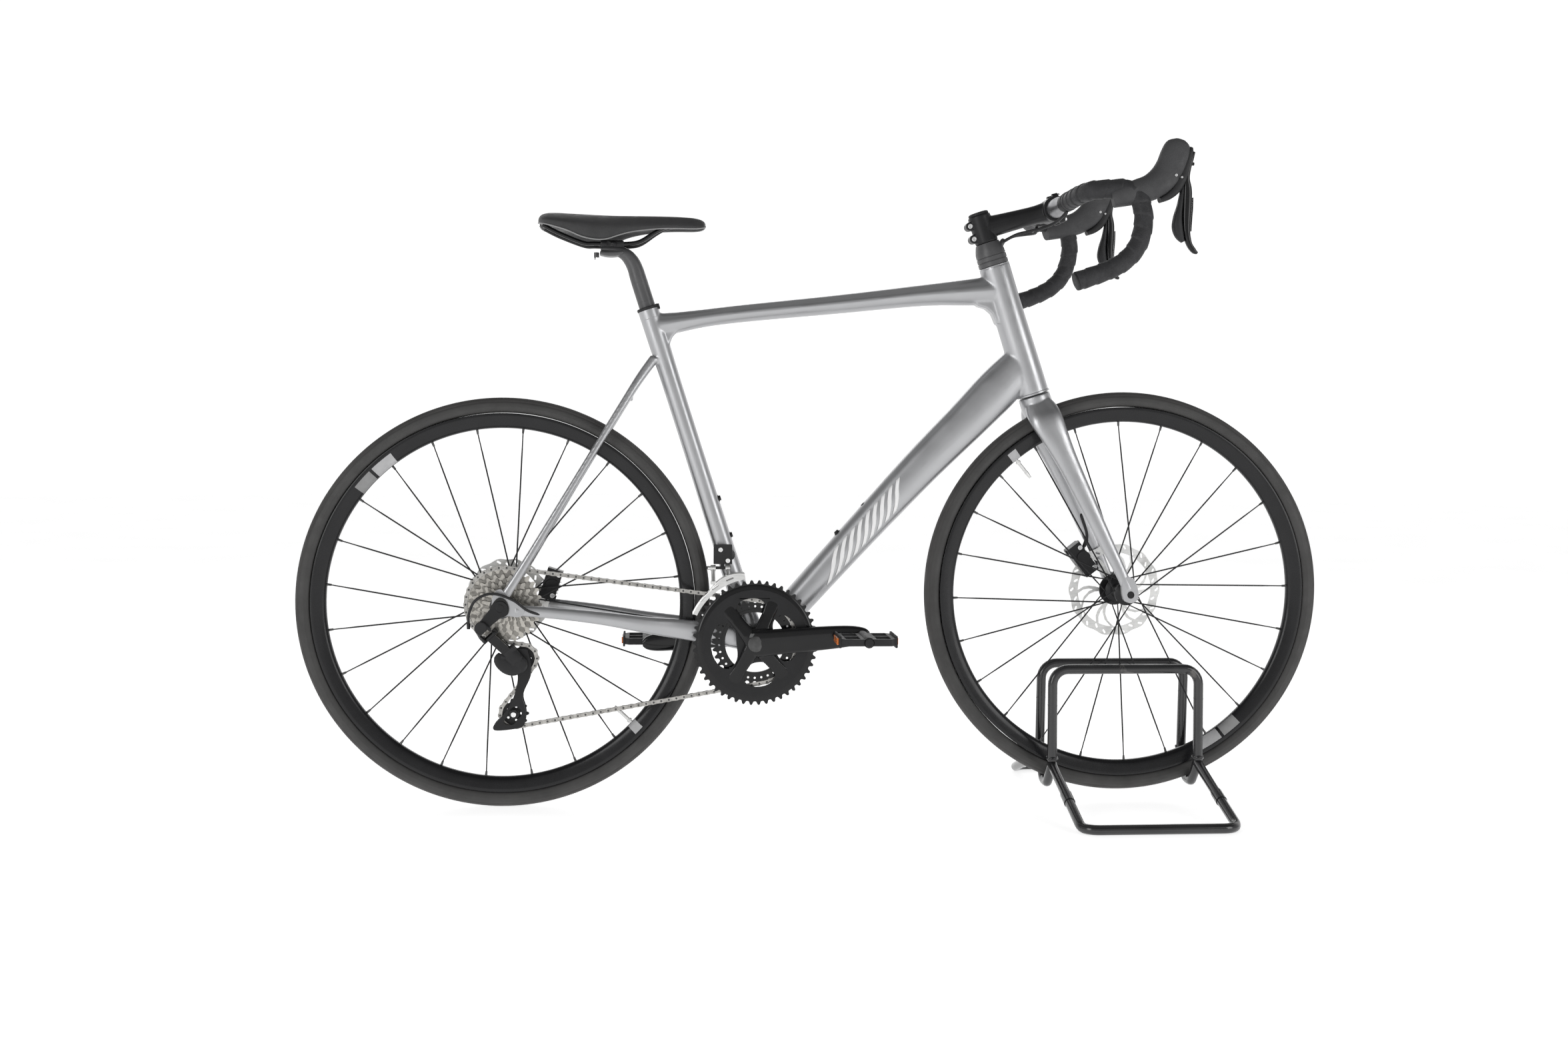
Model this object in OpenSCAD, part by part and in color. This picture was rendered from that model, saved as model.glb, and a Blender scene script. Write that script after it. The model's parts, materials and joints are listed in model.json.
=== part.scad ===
// Disc-brake road bicycle with its front wheel held in a tube floor stand.
// Millimetres. +X points forward, +Y to the rider's left, +Z up. The floor is
// z = 0 and the origin lies midway between the two wheel axles.

/* [Wheels] */
// Outside radius of the tyres
wheel_r = 338; // [336:1:340]
// Width of the tyres
tyre_w = 28; // [26:1:29]
// Inside radius of the rims
rim_in_r = 288; // [286:1:292]
// Distance between the wheel axles
wheelbase = 1036; // [1034:1:1040]
// Height of the front tyre above the floor
wheel_lift = 18; // [18:1:20]
// Number of spokes in each wheel
spoke_count = 24; // [20:4:28]

/* [Frame] */
// Chainstay's forward reach from the rear axle to the crank axle
bb_forward = 411; // [410:1:413]
// Drop of the crank axle below the rear axle
bb_drop = 61; // [60:1:63]
// Angle of the steering axis above the floor
head_angle = 71.8; // [71.6:0.1:72]
// Angle of the seat tube above the floor
seat_angle = 72.06; // [72:0.02:72.1]
// Length of the head tube
head_len = 226; // [225:1:227]
// Offset of the front axle ahead of the steering axis
fork_rake = 44.2; // [44:0.1:44.5]
// Length of the fork along the steering axis, from axle to crown
fork_len = 364; // [363:1:365]
// Length of the seat tube from the crank axle to its top
seat_tube_len = 573; // [572:1:575]
// Half the width between the fork's dropouts
front_half = 50; // [50:0.5:51]
// Half the width between the frame's dropouts
rear_half = 71; // [71:0.5:72]

/* [Cockpit] */
// Forward reach of the stem, square to the steering axis
stem_reach = 122.4; // [120:0.1:123]
// Half the width of the handlebar at the brake hoods
bar_half = 220; // [218:1:222]
// Radius of the handlebar tube
bar_r = 12; // [11.9:0.1:12]
// Radius of the bar tape's outside
tape_r = 15.5; // [15:0.1:15.5]

/* [Drive] */
// Length of the crank arms
crank_len = 172.5; // [170:0.5:172.5]
// Angle of the right crank arm above the horizontal
crank_angle = 5; // [4:0.5:6]
// Teeth on the outer chainring
outer_teeth = 50; // [50:1:50]
// Teeth on the inner chainring
inner_teeth = 34; // [34:1:34]
// Pitch of the chain
pitch = 12.7; // [12.7:0.1:12.7]

/* [Stand] */
// Radius of the stand's tubes
stand_r = 8; // [7.5:0.1:8]
// Half the distance between the stand's two cradle tubes
cradle_half = 125; // [124:1:126]
// Half the width of the stand across its floor loops, at the tube centres
floor_half = 250; // [245:1:250]
// Height of the top bars, at the tube centre
hoop_z = 229; // [228:1:232]
// Half the distance between the two top hoops
hoop_half = 39; // [39:1:42]

/* [Hidden] */

$fn = 48;
gap = 0.4;         // running gap between faces of parts that move
fit = 0.05;        // radial running clearance of a shaft in its bore
bead_r = 311;      // bead seat radius of a 622 mm rim
rear_x = -wheelbase / 2;
front_x = wheelbase / 2;
rear_z = wheel_r;
front_z = wheel_r + wheel_lift;
bb = [rear_x + bb_forward, 0, rear_z - bb_drop];

head_dir = [-cos(head_angle), 0, sin(head_angle)];
head_fwd = [sin(head_angle), 0, cos(head_angle)];
crown = [front_x, 0, front_z] - fork_rake * head_fwd + fork_len * head_dir;
seat_dir = [-cos(seat_angle), 0, sin(seat_angle)];
seat_top = bb + seat_tube_len * seat_dir;
bar_centre = crown + stem_reach * head_fwd + 284 * head_dir;
steerer_r = 14.3;
crown_r = 20;

// Drive train: each sprocket's plane lies at this distance right of centre.
outer_ring_y = -47.5;
inner_ring_y = -39.9;
big_cog_y = -26;
cog_teeth = [30, 27, 24, 21, 19, 17, 15, 14, 13, 12, 11];
cog_step = 3.95;
pulley_teeth = 11;
guide = [rear_x + 32, big_cog_y, rear_z - 88];
tension = [rear_x + 17, big_cog_y, rear_z - 179];
cage_pivot = [rear_x + 25, 0, rear_z - 96];
function pitch_r(teeth) = pitch / (2 * sin(180 / teeth));

// ---------- helpers ----------
function mirrored(p, side) = [p[0], side * p[1], p[2]];
function lerp(a, b, t) = a + (b - a) * t;
function unit(v) = v / norm(v);

// Points along a smooth curve through p, with n steps between points.
function smooth_at(a, b, c, d, t) =
    0.5 * (2 * b + (c - a) * t + (2 * a - 5 * b + 4 * c - d) * t * t
        + (3 * b - a - 3 * c + d) * t * t * t);
function smooth(p, n) = concat(
    [for (i = [0 : len(p) - 2], j = [0 : n - 1])
        smooth_at(p[max(i - 1, 0)], p[i], p[i + 1],
            p[min(i + 2, len(p) - 1)], j / n)],
    [p[len(p) - 1]]);

function tangent_at(p, i) =
    unit(p[min(i + 1, len(p) - 1)] - p[max(i - 1, 0)]);
// Side direction of a ring, carried along so that the tube doesn't twist.
function carry(p, i, side) =
    let (t = tangent_at(p, i)) unit(side - (side * t) * t);
function sides_of(p, i, side) =
    i >= len(p) ? [] :
    let (s = carry(p, i, side)) concat([s], sides_of(p, i + 1, s));

// A round tube swept along the points p; r is its radius or one per point.
module sweep(p, r, n = 8, start_side = [0.1, 1, 0.2]) {
    s = sides_of(p, 0, start_side);
    rings = [for (i = [0 : len(p) - 1], k = [0 : n - 1])
        p[i] + (is_list(r) ? r[i] : r) * (cos(360 * k / n) * s[i]
            + sin(360 * k / n) * cross(tangent_at(p, i), s[i]))];
    last = n * (len(p) - 1);
    faces = concat(
        [[for (k = [0 : n - 1]) k]],
        [for (i = [0 : len(p) - 2], k = [0 : n - 1])
            [n * i + (k + 1) % n, n * i + k,
                n * (i + 1) + k, n * (i + 1) + (k + 1) % n]],
        [[for (k = [n - 1 : -1 : 0]) last + k]]);
    polyhedron(rings, faces, convexity = 6);
}

// A straight round bar or cone between two points.
module rod(a, b, r1, r2, fn = 32) {
    v = b - a;
    translate(a)
        rotate([0, acos(v[2] / norm(v)), atan2(v[1], v[0])])
            cylinder(h = norm(v), r1 = r1, r2 = r2, $fn = fn);
}

// Local +z along the wheel axle towards the right-hand, drive side.
module on_axle(x, z, y = 0) translate([x, y, z]) rotate([90, 0, 0]) children();

// Local frame of the steering axis: z = 0 at the fork crown.
module on_steerer() translate(crown) rotate([0, head_angle - 90, 0]) children();

// Local frame of the seat tube: z = 0 at the tube's top.
module on_seat_tube()
    translate(seat_top) rotate([0, seat_angle - 90, 0]) children();

// A tube ring around local z.
module ring(r_out, r_in, z0, z1)
    translate([0, 0, z0]) rotate_extrude()
        translate([r_in, 0]) square([r_out - r_in, z1 - z0]);

// Flat-topped toothed wheel, centred on local z = 0.
module sprocket(teeth, thick, hole_r) {
    root = pitch_r(teeth) - 4.2;
    tip = pitch_r(teeth) + 1.6;
    step = 360 / teeth;
    outline = [for (i = [0 : teeth - 1], k = [0 : 3])
        let (a = step * (i + [-0.34, -0.12, 0.12, 0.34][k]),
            r = [root, tip, tip, root][k]) [r * cos(a), r * sin(a)]];
    difference() {
        translate([0, 0, -thick / 2]) linear_extrude(thick) polygon(outline);
        translate([0, 0, -thick]) cylinder(h = 2 * thick, r = hole_r);
    }
}

// ---------- stand ----------
stand_x = front_x;
ridge_y = 45;
ridge_z = 72;
corner_r = 26;
sleeve_y = 162;
bend_y = floor_half - 20;
// Height of a leg's centre line between the ridge and the floor.
function leg_z(y) = lerp(ridge_z - 3, stand_r + 2,
    (y - ridge_y) / (bend_y - ridge_y));
// Points round the rounded corner of a loop, in its own plane.
function loop_corner(end) = [for (i = [0 : 4]) let (a = 22.5 * i)
    [-cradle_half + corner_r * (1 - cos(a)), end - corner_r * (1 - sin(a))]];
function mirrored_ends(half) = concat(half,
    [for (i = [len(half) - 1 : -1 : 0]) [-half[i][0], half[i][1]]]);

// Inverted U: legs up to a flat top bar with rounded corners.
module hoop(side) {
    foot_z = ridge_z + stand_r + 1;
    lean = (ridge_y - 1 - hoop_half) / (hoop_z - foot_z);
    outline = mirrored_ends(concat([[-cradle_half, foot_z]],
        loop_corner(hoop_z)));
    sweep([for (q = outline)
        [stand_x + q[0], side * (hoop_half + lean * (hoop_z - q[1])), q[1]]],
        stand_r, 12);
}

module stand_hoop_right() color("#1a1a1c") hoop(-1);
module stand_hoop_left() color("#1a1a1c") hoop(1);

// One W-bent tube: sleeve end, ridge, valley under the tyre, ridge, sleeve.
valley_z = front_z - sqrt(pow(wheel_r + stand_r + 1, 2)
    - cradle_half * cradle_half);
module cradle(x) {
    half = [[-sleeve_y, leg_z(sleeve_y)], [-ridge_y - 7, ridge_z - 4],
        [-ridge_y, ridge_z - 1], [-ridge_y + 6, ridge_z - 5],
        [-16, valley_z + 4], [-9, valley_z + 0.6]];
    pts = concat(half, [[0, valley_z]],
        [for (i = [len(half) - 1 : -1 : 0]) [-half[i][0], half[i][1]]]);
    sweep([for (q = pts) [x, q[0], q[1]]], stand_r, 12);
}

module stand_cradle_tubes() color("#1a1a1c")
    for (x = [-cradle_half, cradle_half]) cradle(stand_x + x);

// Floor loop: two legs from the sleeve ends down to a bar on the floor.
module floor_loop(side) {
    outline = mirrored_ends(concat(
        [[-cradle_half, sleeve_y]], loop_corner(floor_half)));
    sweep([for (q = outline)
        [stand_x + q[0], side * q[1], max(stand_r, leg_z(q[1]))]],
        stand_r, 12);
}
module stand_floor_loop_right() color("#1a1a1c") floor_loop(-1);
module stand_floor_loop_left() color("#1a1a1c") floor_loop(1);

// ---------- wheels ----------
module tyre_body() color("#151515") rotate_extrude($fn = 96)
    difference() {
        translate([wheel_r - tyre_w / 2, 0]) circle(r = tyre_w / 2, $fn = 32);
        translate([wheel_r - tyre_w / 2 - 1, 0])
            circle(r = tyre_w / 2 - 3, $fn = 32);
        translate([bead_r - 12, -tyre_w]) square([14.5, 2 * tyre_w]);
    }

module rim_body() color("#202022") difference() {
    rotate_extrude($fn = 96) difference() {
        polygon([[rim_in_r, -4], [rim_in_r, 4], [rim_in_r + 8, 9.5],
            [bead_r + 1.5, 12.5], [bead_r + 1.5, -12.5],
            [rim_in_r + 8, -9.5]]);
        polygon([[rim_in_r + 3, -3], [rim_in_r + 3, 3], [rim_in_r + 9, 7.5],
            [bead_r - 8, 9.5], [bead_r - 8, -9.5], [rim_in_r + 9, -7.5]]);
    }
}

// Tangent-laced spokes from two flanges to the rim.
module spoke_set(flange_right, flange_left, hub_r) color("#26262a")
    for (i = [0 : spoke_count - 1]) {
        right = i % 2 == 0;
        lead = (floor(i / 2) % 2 == 0) ? 1 : -1;
        rim_a = 360 * i / spoke_count;
        hub_a = rim_a + lead * 62;
        fz = right ? flange_right + lead * 0.9 : -flange_left + lead * 0.9;
        rod([hub_r * cos(hub_a), hub_r * sin(hub_a), fz],
            [(rim_in_r + 1) * cos(rim_a), (rim_in_r + 1) * sin(rim_a),
                right ? 1.5 : -1.5], 0.9, 0.9, 8);
    }

module hub_shell(right_flange, left_flange, right_end, left_end, axle_r,
    core_r, flange_r) {
    difference() {
        union() {
            ring(core_r, axle_r + fit, -left_end, right_end);
            ring(core_r + 4, core_r - 1, -left_flange, right_flange);
            for (z = [right_flange, -left_flange])
                ring(flange_r, core_r - 1, z - 1.6, z + 1.6);
        }
        translate([0, 0, -left_end - 1])
            cylinder(h = left_end + right_end + 2, r = axle_r + fit);
    }
}

module rotor(r_out, z, carrier_r) color("silver") translate([0, 0, z])
    difference() {
        union() {
            ring(r_out, r_out - 13, -0.9, 0.9);
            for (a = [0 : 72 : 359]) rotate(a)
                translate([carrier_r - 4, -4, -0.9])
                    cube([r_out - carrier_r - 6, 8, 1.8]);
            ring(carrier_r, 14.1, -0.9, 0.9);
        }
        for (i = [0 : 23]) rotate(15 * i) translate([r_out - 6.5, 0, -2])
            cylinder(h = 4, r = 2.2, $fn = 16);
    }

front_phase = 2;   // turn of each wheel's first spoke above +X
rear_phase = -6.2;
module front_tyre() on_axle(front_x, front_z) tyre_body();
module front_rim() on_axle(front_x, front_z) rim_body();
module front_spokes() on_axle(front_x, front_z) rotate(front_phase)
    spoke_set(33, 24, 17);
module front_hub() color("#1c1c1e") on_axle(front_x, front_z)
    hub_shell(33, 24, front_half - gap, front_half - gap, 6, 9.5, 20);
module front_rotor() on_axle(front_x, front_z)
    rotor(80, -(front_half - 10.5), 22);
module rear_tyre() on_axle(rear_x, rear_z) tyre_body();
module rear_rim() on_axle(rear_x, rear_z) rim_body();
module rear_spokes() on_axle(rear_x, rear_z) rotate(rear_phase)
    spoke_set(17, 34, 19);
module rear_hub() color("#1c1c1e") on_axle(rear_x, rear_z)
    hub_shell(17, 34, rear_half - gap, rear_half - gap, 6, 10, 22);
module rear_rotor() on_axle(rear_x, rear_z)
    rotor(70, -(rear_half - 15), 22);

// ---------- fork and steering ----------
dropout_t = 9;
blade_top_y = 34;
crown_gap = 0.5;   // dark line between the crown and the head tube
module fork() color("#b9babd") {
    difference() {
        on_steerer() union() {
            translate([0, 0, -14]) cylinder(h = 60, r = crown_r);
            translate([0, 0, 46]) cylinder(h = 265, r = steerer_r);
        }
        on_steerer() translate([0, 0, 20]) cylinder(h = 300, r = 12);
    }
    difference() {
        union() {
            on_steerer() translate([0, 0, -24]) cylinder(h = 24, r = 24);
            for (s = [-1, 1]) {
                top = crown + [0, s * blade_top_y, 0] + 4 * head_fwd
                    - 16 * head_dir;
                mid = top + 15.4 * head_fwd - 150 * head_dir + [0, s * 8, 0];
                tip = [front_x, s * (front_half + 4.6), front_z];
                rod(crown + [0, s * 4, 0] - 12 * head_dir, top, 13.5, 13.5);
                translate(top) sphere(r = 14);
                rod(top, mid, 13, 9.5);
                translate(mid) sphere(r = 10.2);
                rod(mid, tip + [0, 0, 6], 9.5, 4.2);
                on_axle(front_x, front_z, s * (front_half + dropout_t / 2))
                    translate([0, 0, -dropout_t / 2])
                        cylinder(h = dropout_t, r = 13.5);
            }
        }
        on_steerer() translate([0, 0, -crown_gap]) cylinder(h = 60, r = 70);
        on_axle(front_x, front_z) translate([0, 0, -80])
            cylinder(h = 160, r = 6);
        on_axle(front_x, front_z) translate([0, 0, -front_half])
            cylinder(h = 2 * front_half, r = 16);
    }
}

module front_thru_axle() color("#222222") on_axle(front_x, front_z) {
    translate([0, 0, -front_half - dropout_t])
        cylinder(h = 2 * (front_half + dropout_t), r = 6);
    translate([0, 0, -front_half - dropout_t - 3.5])
        cylinder(h = 3.5, r = 9);
}

cover_top = head_len + 39.5;
module headset_cover() color("#202022") on_steerer() difference() {
    union() {
        translate([0, 0, head_len + gap]) cylinder(h = 24, r = 24.6);
        translate([0, 0, head_len + 24])
            cylinder(h = 15.5, r1 = 24.6, r2 = 20);
        translate([20, 0, head_len + 20]) rotate([0, 24, 0])
            cylinder(h = 16, r = 6.5);
    }
    translate([0, 0, head_len - 5]) cylinder(h = 60, r = steerer_r);
    translate([-40, -40, head_len - 10]) cube([80, 80, 10 + gap]);
}

clamp_z = 284;
module stem() color("#1c1c1e") on_steerer() difference() {
    union() {
        translate([0, 0, cover_top]) cylinder(h = 47, r = 18.5);
        translate([-26, -9, cover_top + 4]) cube([20, 18, 38]);
        rod([4, 0, clamp_z + 6], [stem_reach - 14, 0, clamp_z], 17.5, 16);
        translate([stem_reach, 24, clamp_z]) rotate([90, 0, 0])
            cylinder(h = 48, r = 21);
    }
    translate([0, 0, cover_top - 1]) cylinder(h = 60, r = steerer_r);
    translate([-40, -0.6, cover_top - 1]) cube([40, 1.2, 60]);
    translate([stem_reach, 30, clamp_z]) rotate([90, 0, 0])
        cylinder(h = 60, r = 15.9);
    translate([stem_reach + 1, -30, clamp_z - 30]) cube([40, 60, 60]);
}

module stem_faceplate() color("#1c1c1e") on_steerer() difference() {
    translate([stem_reach, 24, clamp_z]) rotate([90, 0, 0])
        cylinder(h = 48, r = 21);
    translate([stem_reach, 30, clamp_z]) rotate([90, 0, 0])
        cylinder(h = 60, r = 15.9);
    translate([stem_reach - 38, -30, clamp_z - 30]) cube([40, 60, 60]);
    for (y = [-17, 17], z = [-18.6, 18.6])
        translate([stem_reach, y, clamp_z + z]) rotate([0, 90, 0])
            cylinder(h = 30, r = 2.6);
}

// Top cap, its bolt and the stem's six clamp bolts.
module stem_hardware() color("#2a2a2c") on_steerer() {
    translate([0, 0, cover_top + 47]) cylinder(h = 5, r = 16);
    translate([0, 0, cover_top + 52]) cylinder(h = 1.5, r = 4);
    for (y = [-17, 17], z = [-18.6, 18.6])
        translate([stem_reach + 2, y, clamp_z + z]) rotate([0, 90, 0]) {
            cylinder(h = 14, r = 2.5);
            translate([0, 0, 9]) cylinder(h = 4.5, r = 4);
        }
    for (z = [12, 34]) translate([-21, 12, cover_top + z])
        rotate([90, 0, 0]) {
            cylinder(h = 3, r = 4);
            translate([0, 0, 21]) cylinder(h = 3, r = 4);
        }
}

// Centre line of the handlebar's right half, from the stem outwards.
bar_pts = [[0, -30, 0], [0, -80, 0], [0, -130, 0.5], [3, -175, 2],
    [14, -204, 4], [38, -214, 5], [62, -217, 5], [79, -220, -7],
    [87, -223, -30], [86, -226, -56], [77, -228, -84], [58, -229, -106],
    [30, -230, -122], [-17, -230, -139]];
function bar_route(side) =
    [for (q = smooth(bar_pts, 3)) bar_centre + mirrored(q, -side)];

module handlebar() color("#6a6b6e") {
    difference() {
        translate(bar_centre + [0, 50, 0]) rotate([90, 0, 0])
            cylinder(h = 100, r = 15.9);
        for (y = [-25, 25]) translate(bar_centre + [0, y + 0.5, 0])
            rotate([90, 0, 0]) ring(20, 15.6, 0, 1);
    }
    for (s = [-1, 1]) sweep(bar_route(s), bar_r, 12);
}

module bar_tape() color("#2b2b2d") for (s = [-1, 1]) {
    route = bar_route(s);
    taped = [for (i = [4 : len(route) - 1]) route[i]];
    end = route[len(route) - 1];
    back = unit(end - route[len(route) - 2]);
    difference() {
        sweep(concat(taped, [end + 4 * back]), tape_r, 12);
        sweep(route, bar_r, 12);
    }
}

// ---------- brake and shift levers ----------
pivot = [bar_centre[0] + 138, bar_half - 7, bar_centre[2] + 26];
swing = pivot + [10, 0, 20];
slot_half = 6.8;

// Rubber-covered hood with a slot and a pin for the lever's bracket.
module hood(side) color("#35363a") {
    y0 = side * pivot[1];
    base = bar_centre + [80, side * 220, -8];
    difference() {
        union() {
            hull() {
                translate(base + [-18, 0, 16]) sphere(r = 16, $fn = 24);
                translate(base + [4, 0, -4]) sphere(r = 15, $fn = 24);
                translate([pivot[0] - 14, y0, pivot[2] + 2])
                    sphere(r = 17, $fn = 24);
                translate([pivot[0] - 4, y0, pivot[2] - 4])
                    sphere(r = 13, $fn = 24);
            }
            hull() {
                translate([pivot[0] - 12, y0, pivot[2]])
                    sphere(r = 17, $fn = 24);
                translate([pivot[0] + 6, y0, pivot[2] + 36])
                    sphere(r = 17, $fn = 24);
                translate([pivot[0] + 14, y0, pivot[2] + 40])
                    sphere(r = 14, $fn = 24);
            }
        }
        translate([pivot[0] - 12, y0 - slot_half, pivot[2] - 30])
            cube([80, 2 * slot_half, 64]);
        translate([pivot[0] + 8.2, y0 - 40, pivot[2] - 40]) cube([62, 80, 74]);
        intersection() {
            sweep(bar_route(side), tape_r, 12);
            translate([0, side > 0 ? 100 : -400, 600])
                cube([1000, 300, 1000]);
        }
        translate([pivot[0] - 120, y0 - 60, pivot[2] - 170])
            cube([102, 120, 100]);
    }
    on_axle(pivot[0], pivot[2], y0) translate([0, 0, -14])
        cylinder(h = 28, r = 2.5);
}

// Bracket that turns in the hood as the brake is pulled; it carries the pin
// that the blade and the shift paddle swing on.
module lever_bracket(side) color("#2a2a2e") {
    y0 = side * pivot[1];
    difference() {
        union() {
            translate([pivot[0] - 6, y0 - 6, pivot[2] - 6])
                cube([14, 12, 34]);
        }
        on_axle(pivot[0], pivot[2], y0) translate([0, 0, -20])
            cylinder(h = 40, r = 2.5 + fit);
    }
    translate([swing[0] - 3, y0, swing[2]]) rotate([0, 90, 0])
        cylinder(h = 24, r = 2.5);
}

// Brake blade: a boss on the pin and a long curved finger.
module lever_blade(side) color("#0d0d0e") {
    y0 = side * pivot[1];
    boss_x = swing[0] + 6.5;
    difference() {
        union() {
            translate([boss_x, y0, swing[2]]) rotate([0, 90, 0])
                cylinder(h = 10, r = 7);
            translate([boss_x, y0 - 6, swing[2] - 36]) cube([9, 12, 34]);
            hull() {
                translate([boss_x + 4.5, y0, swing[2] - 36])
                    sphere(r = 6, $fn = 20);
                translate([boss_x + 6, y0, swing[2] - 96])
                    sphere(r = 5.5, $fn = 20);
            }
            hull() {
                translate([boss_x + 6, y0, swing[2] - 96])
                    sphere(r = 5.5, $fn = 20);
                translate([boss_x + 16, y0, swing[2] - 133])
                    sphere(r = 5, $fn = 20);
            }
        }
        translate([boss_x - 20, y0, swing[2]]) rotate([0, 90, 0])
            cylinder(h = 60, r = 2.5 + fit);
    }
}

// Shift paddle behind the blade, on the same pin.
module shift_paddle(side) color("#161618") {
    y0 = side * pivot[1];
    boss_x = swing[0] - 1.5;
    difference() {
        union() {
            translate([boss_x, y0, swing[2]]) rotate([0, 90, 0])
                cylinder(h = 6, r = 6.5);
            translate([boss_x + 1, y0 - 5, swing[2] - 62])
                cube([4.6, 10, 58]);
            hull() {
                translate([boss_x + 1.5, y0, swing[2] - 60])
                    sphere(r = 3, $fn = 16);
                translate([boss_x - 9, y0, swing[2] - 92])
                    sphere(r = 4, $fn = 16);
                translate([boss_x + 2, y0, swing[2] - 118])
                    sphere(r = 3, $fn = 16);
            }
        }
        translate([boss_x - 20, y0, swing[2]]) rotate([0, 90, 0])
            cylinder(h = 60, r = 2.5 + fit);
    }
}
module hood_right() hood(-1);
module hood_left() hood(1);
module lever_bracket_right() lever_bracket(-1);
module lever_bracket_left() lever_bracket(1);
module lever_blade_right() lever_blade(-1);
module lever_blade_left() lever_blade(1);
module shift_paddle_right() shift_paddle(-1);
module shift_paddle_left() shift_paddle(1);

// ---------- brakes ----------
// Caliper block, long side along local x; its slot is cut round the rotor.
module caliper(length) {
    translate([-length / 2, -17, -13]) cube([length, 26, 26]);
    translate([2, -7, -15.5]) cylinder(h = 31, r = 11.5);
    translate([length / 2 - 9, -19, -5]) cube([9, 30, 9]);
}

front_rotor_y = front_half - 10.5;
rear_rotor_y = rear_half - 15;
module front_caliper() color("#1d1d1f") difference() {
    translate([front_x - 62, front_rotor_y, front_z + 50])
        rotate([90, 0, 0]) rotate([0, 0, 128]) caliper(58);
    on_axle(front_x, front_z, front_rotor_y) translate([0, 0, -1.7])
        cylinder(h = 3.4, r = 82);
}
module rear_caliper() color("#1d1d1f") difference() {
    translate([rear_x + 69, rear_rotor_y, rear_z + 28])
        rotate([90, 0, 0]) rotate([0, 0, 252]) mirror([0, 1, 0])
            caliper(52);
    on_axle(rear_x, rear_z, rear_rotor_y) translate([0, 0, -1.7])
        cylinder(h = 3.4, r = 72);
}

// ---------- frame ----------
head_top = crown + head_len * head_dir;
head_r = 24.5;
seat_r = 15.5;
post_r = 13.6;
bb_r = 23;
bb_half = 34;
stay_bridge = seat_top - 72 * seat_dir;
dropout_r = 15;

module main_frame() color("#b9babd") difference() {
    union() {
        on_steerer() translate([0, 0, gap]) cylinder(h = head_len - gap,
            r = head_r);
        rod(bb, seat_top, seat_r, seat_r);
        on_seat_tube() translate([0, 0, -34]) cylinder(h = 34, r = 17);
        on_axle(bb[0], bb[2]) translate([0, 0, -bb_half])
            cylinder(h = 2 * bb_half, r = bb_r);
        rod(bb + [10, 0, 8], crown + 48 * head_dir, 24, 31);
        rod(seat_top - 26 * seat_dir, head_top - 37 * head_dir, 12.5, 21);
    }
    on_steerer() {
        translate([0, 0, -60]) cylinder(h = 60 + gap, r = 32);
        translate([0, 0, -1]) cylinder(h = 49, r = 23);
        translate([0, 0, 40]) cylinder(h = 400, r = 19);
        translate([0, 0, head_len]) cylinder(h = 400, r = 60);
    }
    on_steerer() translate([0, -60, -80]) cube([120, 120, 80 + gap]);
    on_seat_tube() {
        translate([0, 0, -230]) cylinder(h = 260, r = post_r + fit);
        cylinder(h = 40, r = 30);
    }
    on_axle(bb[0], bb[2]) translate([0, 0, -60])
        cylinder(h = 120, r = 18);
}

module rear_stays() color("#b9babd") {
    for (s = [-1, 1]) difference() {
        stay_y = rear_half + 4;
        union() {
            // chainstay, passing between tyre and chainrings
            sweep([[rear_x + 24, s * stay_y, rear_z - 4],
                [bb[0] - 150, s * 34, bb[2] + 28],
                [bb[0] - 110, s * 28, bb[2] + 20],
                [bb[0] - 24, s * 26.5, bb[2] + 3]], [6.5, 9, 9, 10], 12);
            // seatstay
            sweep([[rear_x + 5, s * stay_y, rear_z + 15],
                stay_bridge + [-42, s * 23, -67],
                stay_bridge + [-26, s * 16, -38],
                stay_bridge + [-14, s * 9, -14]], [5.5, 6.5, 6.7, 7], 12);
            // dropout plate
            on_axle(rear_x, rear_z, s * (rear_half + 4))
                translate([0, 0, -4]) cylinder(h = 8, r = dropout_r);
            hull() {
                translate([rear_x + 4, s * stay_y - 4, rear_z - 12])
                    cube([28, 8, 14]);
                translate([rear_x - 6, s * stay_y - 4, rear_z])
                    cube([18, 8, 22]);
            }
        }
        on_axle(rear_x, rear_z) translate([0, 0, -90])
            cylinder(h = 180, r = 6);
        on_axle(bb[0], bb[2]) translate([0, 0, -60])
            cylinder(h = 120, r = bb_r);
        rod(bb, seat_top, seat_r, seat_r);
        translate([rear_x - 40, s > 0 ? 0 : -rear_half, rear_z - 60])
            cube([70, rear_half, 120]);
    }
}

// Headset and crank bearings: rings pressed into the frame.
module bearings() {
    on_steerer() {
        ring(23, crown_r + fit, 10, 18);
        ring(19, steerer_r + fit, head_len - 12, head_len - 4);
    }
    on_axle(bb[0], bb[2]) for (s = [-1, 1]) {
        ring(18, 12 + fit, s > 0 ? bb_half - 9 : -bb_half,
            s > 0 ? bb_half : -bb_half + 9);
        ring(21.5, 12 + fit, s > 0 ? bb_half : -bb_half - 3.5,
            s > 0 ? bb_half + 3.5 : -bb_half);
    }
}

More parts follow.
